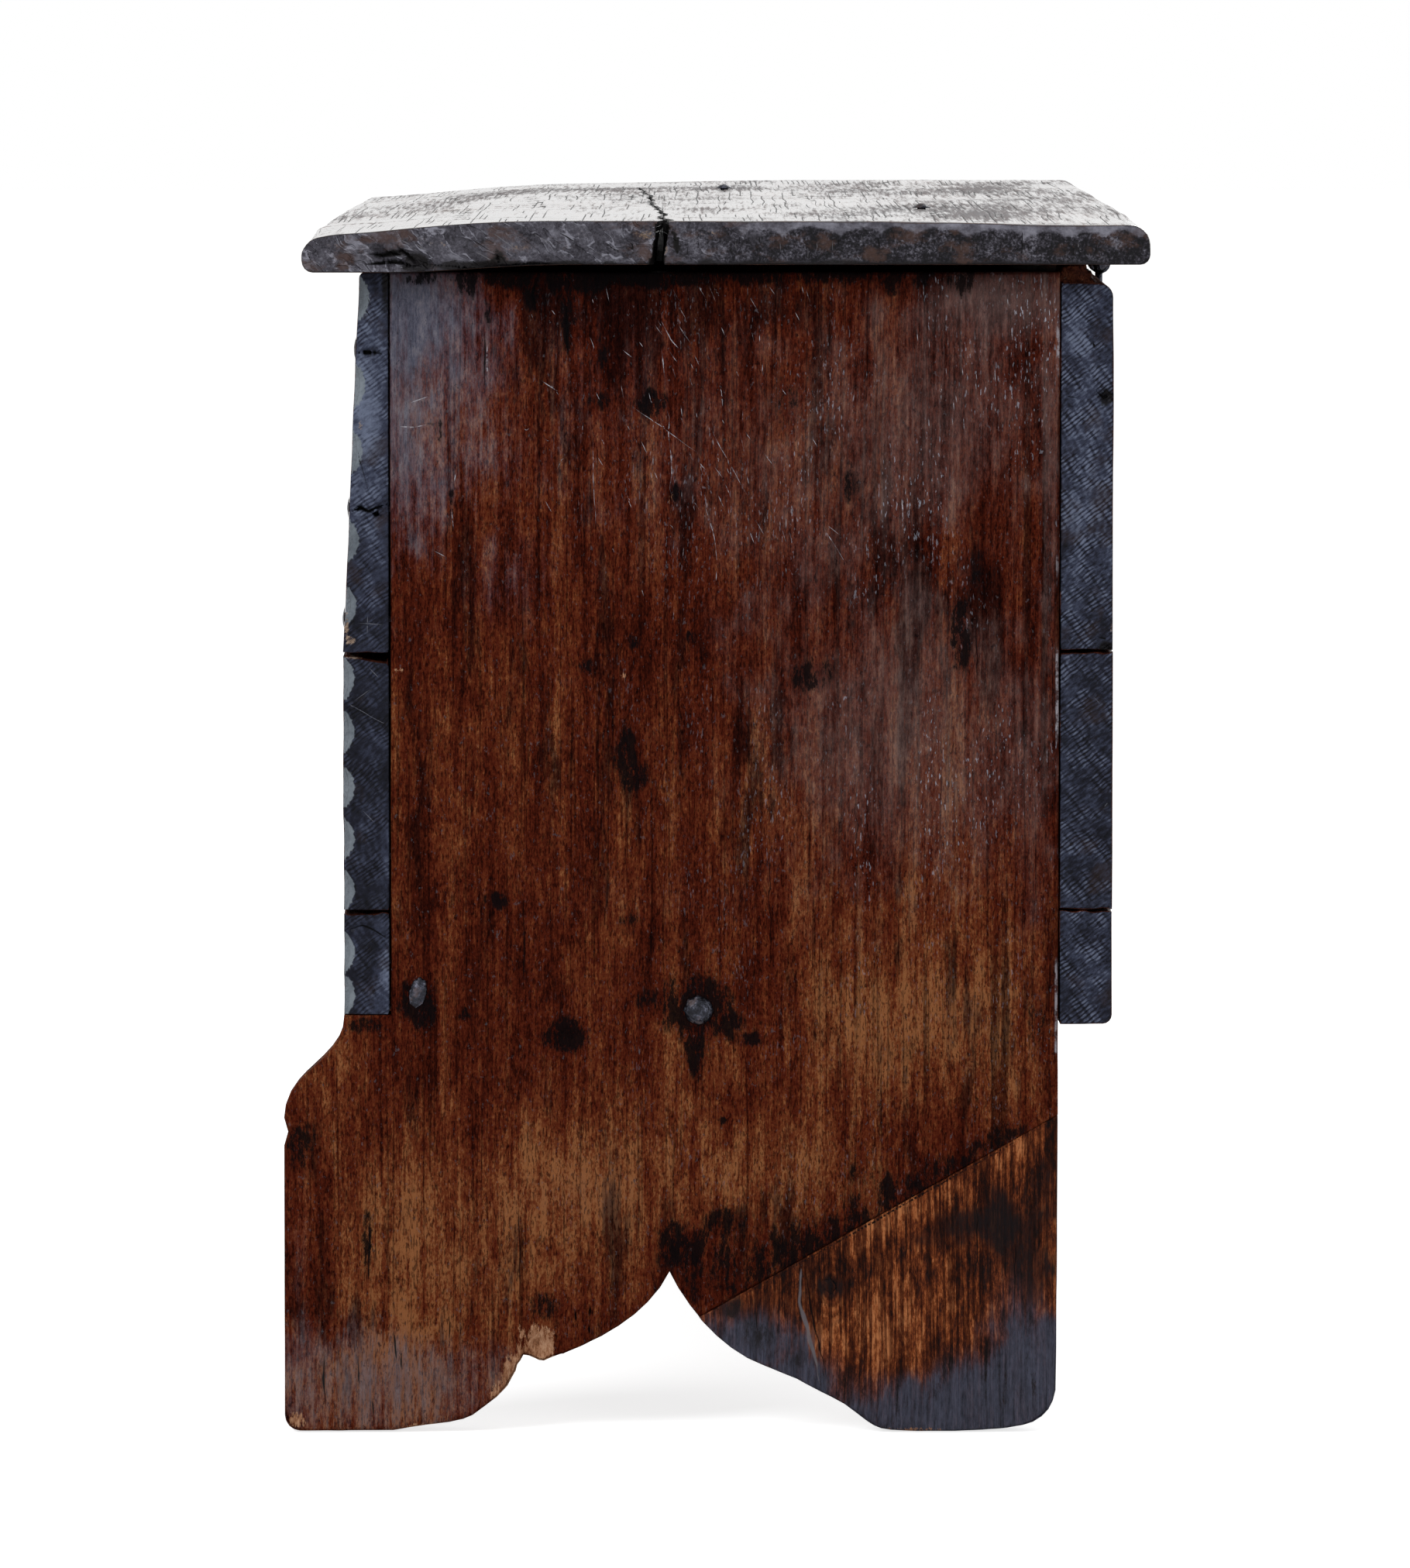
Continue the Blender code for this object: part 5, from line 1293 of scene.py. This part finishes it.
band = (7.2 - 4.2 * scallop + 1.2 * lumps(place, (1000, 6, 6), 601)) * MM
below = LID_TOP - place[:, 2]
lid.looks["worn"] = np.where(skin, 0, rear * (1 - step_up(below, band - 0.5 * MM, band + 0.9 * MM)))
arris_band = rear * upper * (2.0 + 1.0 * lumps(place, 18, 603))
lid.soften((1.3 + 0.6 * lumps(place, 16, 602) + arris_band) * MM)
swayed = place + MM * np.column_stack([
    place[:, 0] * 0, 3.2 * lumps(place, (1000, 19, 11), 616), 2.4 * lumps(place, (1000, 15, 9), 617)
])
crest = step_up(1 - np.abs(slanting(swayed, 0.95, (1000, 7.0, 44), 604)), 0.8, 0.95)
crest = crest * (1 - rear) * step_up(lumps(place, (1000, 14, 9), 618), -0.5, 0.3)
# The ridges also go into the worn look, which lightens them: a painted highlight on each ridge.
lid.looks["worn"] = np.maximum(lid.looks["worn"], np.where(skin, 0, 0.9 * crest))
ridges = 1.5 * crest + rear * (0.5 * lumps(place, (1000, 1.9, 4), 605) - 0.5)
rough = ridges + 0.6 * lumps(place, (1000, 12, 9), 606) + 0.22 * lumps(place, (1000, 2.1, 2.1), 619)
smooth = 1 - 0.85 * lid.looks["worn"] * rear
place[:, 0] += lid.facing * rough * step_up(lid.depth, 0, 2.2 * MM) * smooth * MM
inward = step_up(lid.end, 0, 14 * MM) * crown
for axis, high, size, seed in (
    (2, 0.45, (120, 190, 1000), 607),
    (2, 0.14, (38, 80, 1000), 608),
    (2, 0.22, (400, 13, 1000), 609),
    (1, 1.2, (85, 34, 1000), 610),
):
    place[:, axis] += inward * MM * high * lumps(place, size, seed)
nose = step_up(-place[:, 1], 186 * MM, 208 * MM) * step_up(place[:, 0], 300 * MM, END_FACE)
place[:, 1] += 1.8 * MM * nose
place[:, 2] -= 1.6 * MM * nose * step_up(place[:, 2], 586 * MM, 594 * MM)
tall = step_up(place[:, 2], 586 * MM, 598 * MM)
left_front = step_up(-place[:, 0], 50 * MM, 520 * MM) * step_up(-place[:, 1], -60 * MM, 140 * MM)
right_back = step_up(place[:, 0], 200 * MM, 520 * MM) * step_up(place[:, 1], 70 * MM, 190 * MM)
place[:, 2] -= MM * tall * (2.6 * left_front + 1.9 * right_back)
lid.looks["check"] = np.zeros(len(place))
LONG_CHECKS = [
    (-390, -160, -70, -136), (-60, -100, 180, -92), (-300, 40, 60, 52), (-420, -70, -250, -76),
    (100, 120, 380, 112), (-200, 150, 40, 158), (250, 70, 470, 66), (180, -130, 420, -128),
    (-460, 100, -300, 92), (-120, -40, 90, -52),
]
for number, row in enumerate(lid.rows[1:-1]):
    index = np.arange(len(row))
    spot = np.column_stack([place[row, 0] / (105 * MM), index * 1.618, index * 0])
    depth = step_up(lumps(spot, 1000, 611), -0.15, 0.4) * (index % 2) * inward[row]
    for x0, y0, x1, y1 in LONG_CHECKS:
        share = (place[row[0], 0] / MM - x0) / (x1 - x0)
        if 0 < share < 1:
            line = (y0 + (y1 - y0) * share + 3 * math.sin(9 * share + number)) * MM
            depth = np.where(np.abs(place[row, 1] - line) < 1.4 * MM, inward[row], depth)
    lid.looks["check"][row] = depth
    place[row, 2] -= 0.45 * MM * depth
dents(lid, [
    (-160, 586.5, 9, 4, 2.2), (-145, 583.5, 8, 3, 2.5), (-112, 582.5, 12, 2.5, 2.5),
    (-88, 583, 8, 2.5, 2),
])
# The long row at z 583 along the lower edge of the end is a painted shadow of the gap under the
# lid; the spots at z 582 darken the dents beside it.
lid.blots("stain", [
    (-160, 589, 8, 2, 0.8), (-146, 585, 6, 4, 0.7), (-120, 582, 24, 3, 0.9), (-85, 582, 12, 3, 0.8),
    (-106, 587, 3, 4, 0.8), (60, 583, 180, 2.4, 0.75), (60, 590, 20, 3, 0.25), (20, 596, 8, 3, 0.4),
], 612, 0.5)
lid.blots("raw", [
    (-140, 594, 10, 2, 0.5), (-95, 592, 12, 3, 0.35), (-35, 598, 8, 3, 0.6),
    (-62, 598, 10, 2, 0.35), (-2, 599, 16, 2, 0.35), (-190, 592, 8, 3, 0.25), (-25, 590, 2, 8, 0.5),
], 613, 0.5)
for look in ("stain", "raw"):
    lid.looks[look] *= 1.0 - skin
lid_piece = lid.build("lid", lid_finish(), "lid_wood", "lid")


SPLIT_AT, SPLIT_TOP = -27 * MM, 620 * MM


def split_end(piece, path, seed, levels=9):
    """Cuts a ragged split into a board: each step (x, half-width, lowest z), in mm."""
    steps = np.array(path, float) * MM
    xs = np.linspace(steps[0, 0], steps[-1, 0], 110)
    wide, foot = (np.interp(-xs, -steps[:, 0], steps[:, i]) for i in (1, 2))
    still, inward = xs * 0, END_FACE - xs
    line = np.column_stack([xs, still, still])
    middle = SPLIT_AT + MM * 2 * lumps(line, 22, seed)
    middle += MM * 5 * lumps(line, 160, seed + 1) * step_up(inward, 0, 200 * MM)
    middle -= MM * 16 * step_up(inward, 0, 900 * MM)
    shares = np.linspace(0, 1, levels)
    points = []
    for x, y, half, low in zip(xs, middle, wide, foot):
        heights = low + (SPLIT_TOP - low) * shares
        lean = 9 * MM * (shares - 0.5) * step_up(x, 440 * MM, END_FACE)
        spot = np.column_stack([np.full(levels, x), still[:levels], heights])
        left = y + lean - half * (1.2 - 0.5 * shares + 0.5 * lumps(spot, (9, 1000, 4), seed + 2))
        right = y + lean + half * (1.2 - 0.5 * shares + 0.5 * lumps(spot, (9, 1000, 4), seed + 3))
        points += [(x, a, h) for a, h in zip(right, heights)]
        points += [(x, a, h) for a, h in zip(left[::-1], heights[::-1])]
    around, last = 2 * levels, 2 * levels * (len(xs) - 1)
    faces = [tuple(range(around)), tuple(last + i for i in reversed(range(around)))]
    for row in range(len(xs) - 1):
        for i in range(around):
            a, b = around * row + i, around * row + (i + 1) % around
            faces.append((a, a + around, b + around, b))
    mesh = bpy.data.meshes.new("split")
    mesh.from_pydata(points, [], faces)
    # The cutter's faces carry the crack look, so the walls of the split are painted near-black: a
    # painted shade inside it.
    mesh.attributes.new("crack", "FLOAT", "POINT").data.foreach_set("value", np.ones(len(points)))
    mesh.materials.append(piece.data.materials[0])
    wedge = bpy.data.objects.new("split", mesh)
    bpy.context.scene.collection.objects.link(wedge)
    cutting = piece.modifiers.new("split", "BOOLEAN")
    cutting.operation, cutting.solver, cutting.object = "DIFFERENCE", "EXACT", wedge
    bpy.context.view_layer.update()
    cut_piece = piece.evaluated_get(bpy.context.evaluated_depsgraph_get())
    shaped = bpy.data.meshes.new_from_object(cut_piece)
    piece.modifiers.clear()
    piece.data = shaped
    bpy.data.objects.remove(wedge)
    # Faces inside and beside the split are painted near-black too, as painted shade.
    dark = shaped.attributes["crack"].data
    for face in shaped.polygons:
        x, y, z = face.center
        aside = abs(y - np.interp(-x, -xs, middle))
        within = aside < 1.8 * np.interp(-x, -xs, wide) and 584 * MM < z < 602 * MM and x < 517 * MM
        if within or aside < 9 * MM and abs(face.normal.y) > 0.5:
            for index in face.vertices:
                dark[index].value = 1


split_end(lid_piece, [
    (526, 3.4, 570), (505, 3, 570), (470, 2, 570), (440, 1.4, 590), (400, 1.1, 598), (200, 1, 601),
    (-100, 0.9, 601.5), (-300, 0.5, 602.5),
], 615)


# Studio: a pale floor and a white surround, a broad soft lamp high at the front left, two weaker
# ones, and a long lens square to the end, a little above the lid.


def seen_as_white(start):
    """1 for what the camera sees, straight or in a shine, 0 for the light that falls on things."""
    rays = ("Is Camera Ray", "Is Glossy Ray", "Is Transmission Ray")
    camera, glossy, through = [start.node("LightPath", {}, None, ray) for ray in rays]
    return camera.maths("MAXIMUM", camera, glossy.maths("MAXIMUM", glossy, through))


FLOOR_LEVEL, FLOOR_GREY, FLOOR_GLOW = -0.5 * MM, 0.72, 0.74
floor_white, start = finish("floor_white")
paint = start.node("BsdfDiffuse", {}, {"Color": (FLOOR_GREY, FLOOR_GREY, FLOOR_GREY, 1)})
glow = start.node("Emission", {}, {"Color": (1, 1, 1, 1), "Strength": FLOOR_GLOW})
lit = start.node("AddShader", {}, {0: paint, 1: glow})
start.node("MixShader", {}, {0: seen_as_white(start), 1: paint, 2: lit}).end()
corners = [(x, y, FLOOR_LEVEL) for x, y in ((-30, -30), (30, -30), (30, 30), (-30, 30))]
floor_mesh = bpy.data.meshes.new("floor")
floor_mesh.from_pydata(corners, [], [(0, 1, 2, 3)])
floor_mesh.materials.append(floor_white)
floor = bpy.data.objects.new("floor", floor_mesh)
bpy.context.scene.collection.objects.link(floor)

world = bpy.data.worlds.new("surround")
bpy.context.scene.world = world
world.use_nodes = True
world.node_tree.nodes.clear()
start = Tone(world.node_tree)
strength = seen_as_white(start) * 0.54 + 0.46
start.node("Background", {}, {"Color": (1, 1, 1, 1), "Strength": strength}).end("World")

LAMPS_AIM = Vector((0, 0, 0.3))
for name, place, size, power in (
    ("key", (3.4, -2.6, 2.9), 2.2, 122.0),
    ("fill", (3.2, 3.2, 1.4), 2.4, 42.0),
    ("back", (-3.6, 1.6, 2.6), 2.4, 60.0),
):
    lamp = bpy.data.lights.new(name, "AREA")
    lamp.shape, lamp.size, lamp.energy = "DISK", size, power
    holder = bpy.data.objects.new(name, lamp)
    holder.location = place
    holder.rotation_euler = (LAMPS_AIM - Vector(place)).to_track_quat("-Z", "Y").to_euler()
    bpy.context.scene.collection.objects.link(holder)

EYE = Vector((5.9, -0.0092, 0.7295))
AIM = Vector((0.5, -0.005, 0.3246))
lens = bpy.data.cameras.new("camera")
lens.sensor_width = 36.0
lens.lens = 249.9
lens.clip_end = 100
camera = bpy.data.objects.new("camera", lens)
camera.location = EYE
camera.rotation_euler = (AIM - EYE).to_track_quat("-Z", "Y").to_euler()
bpy.context.scene.collection.objects.link(camera)
bpy.context.scene.camera = camera
bpy.context.scene.view_settings.view_transform = "Standard"
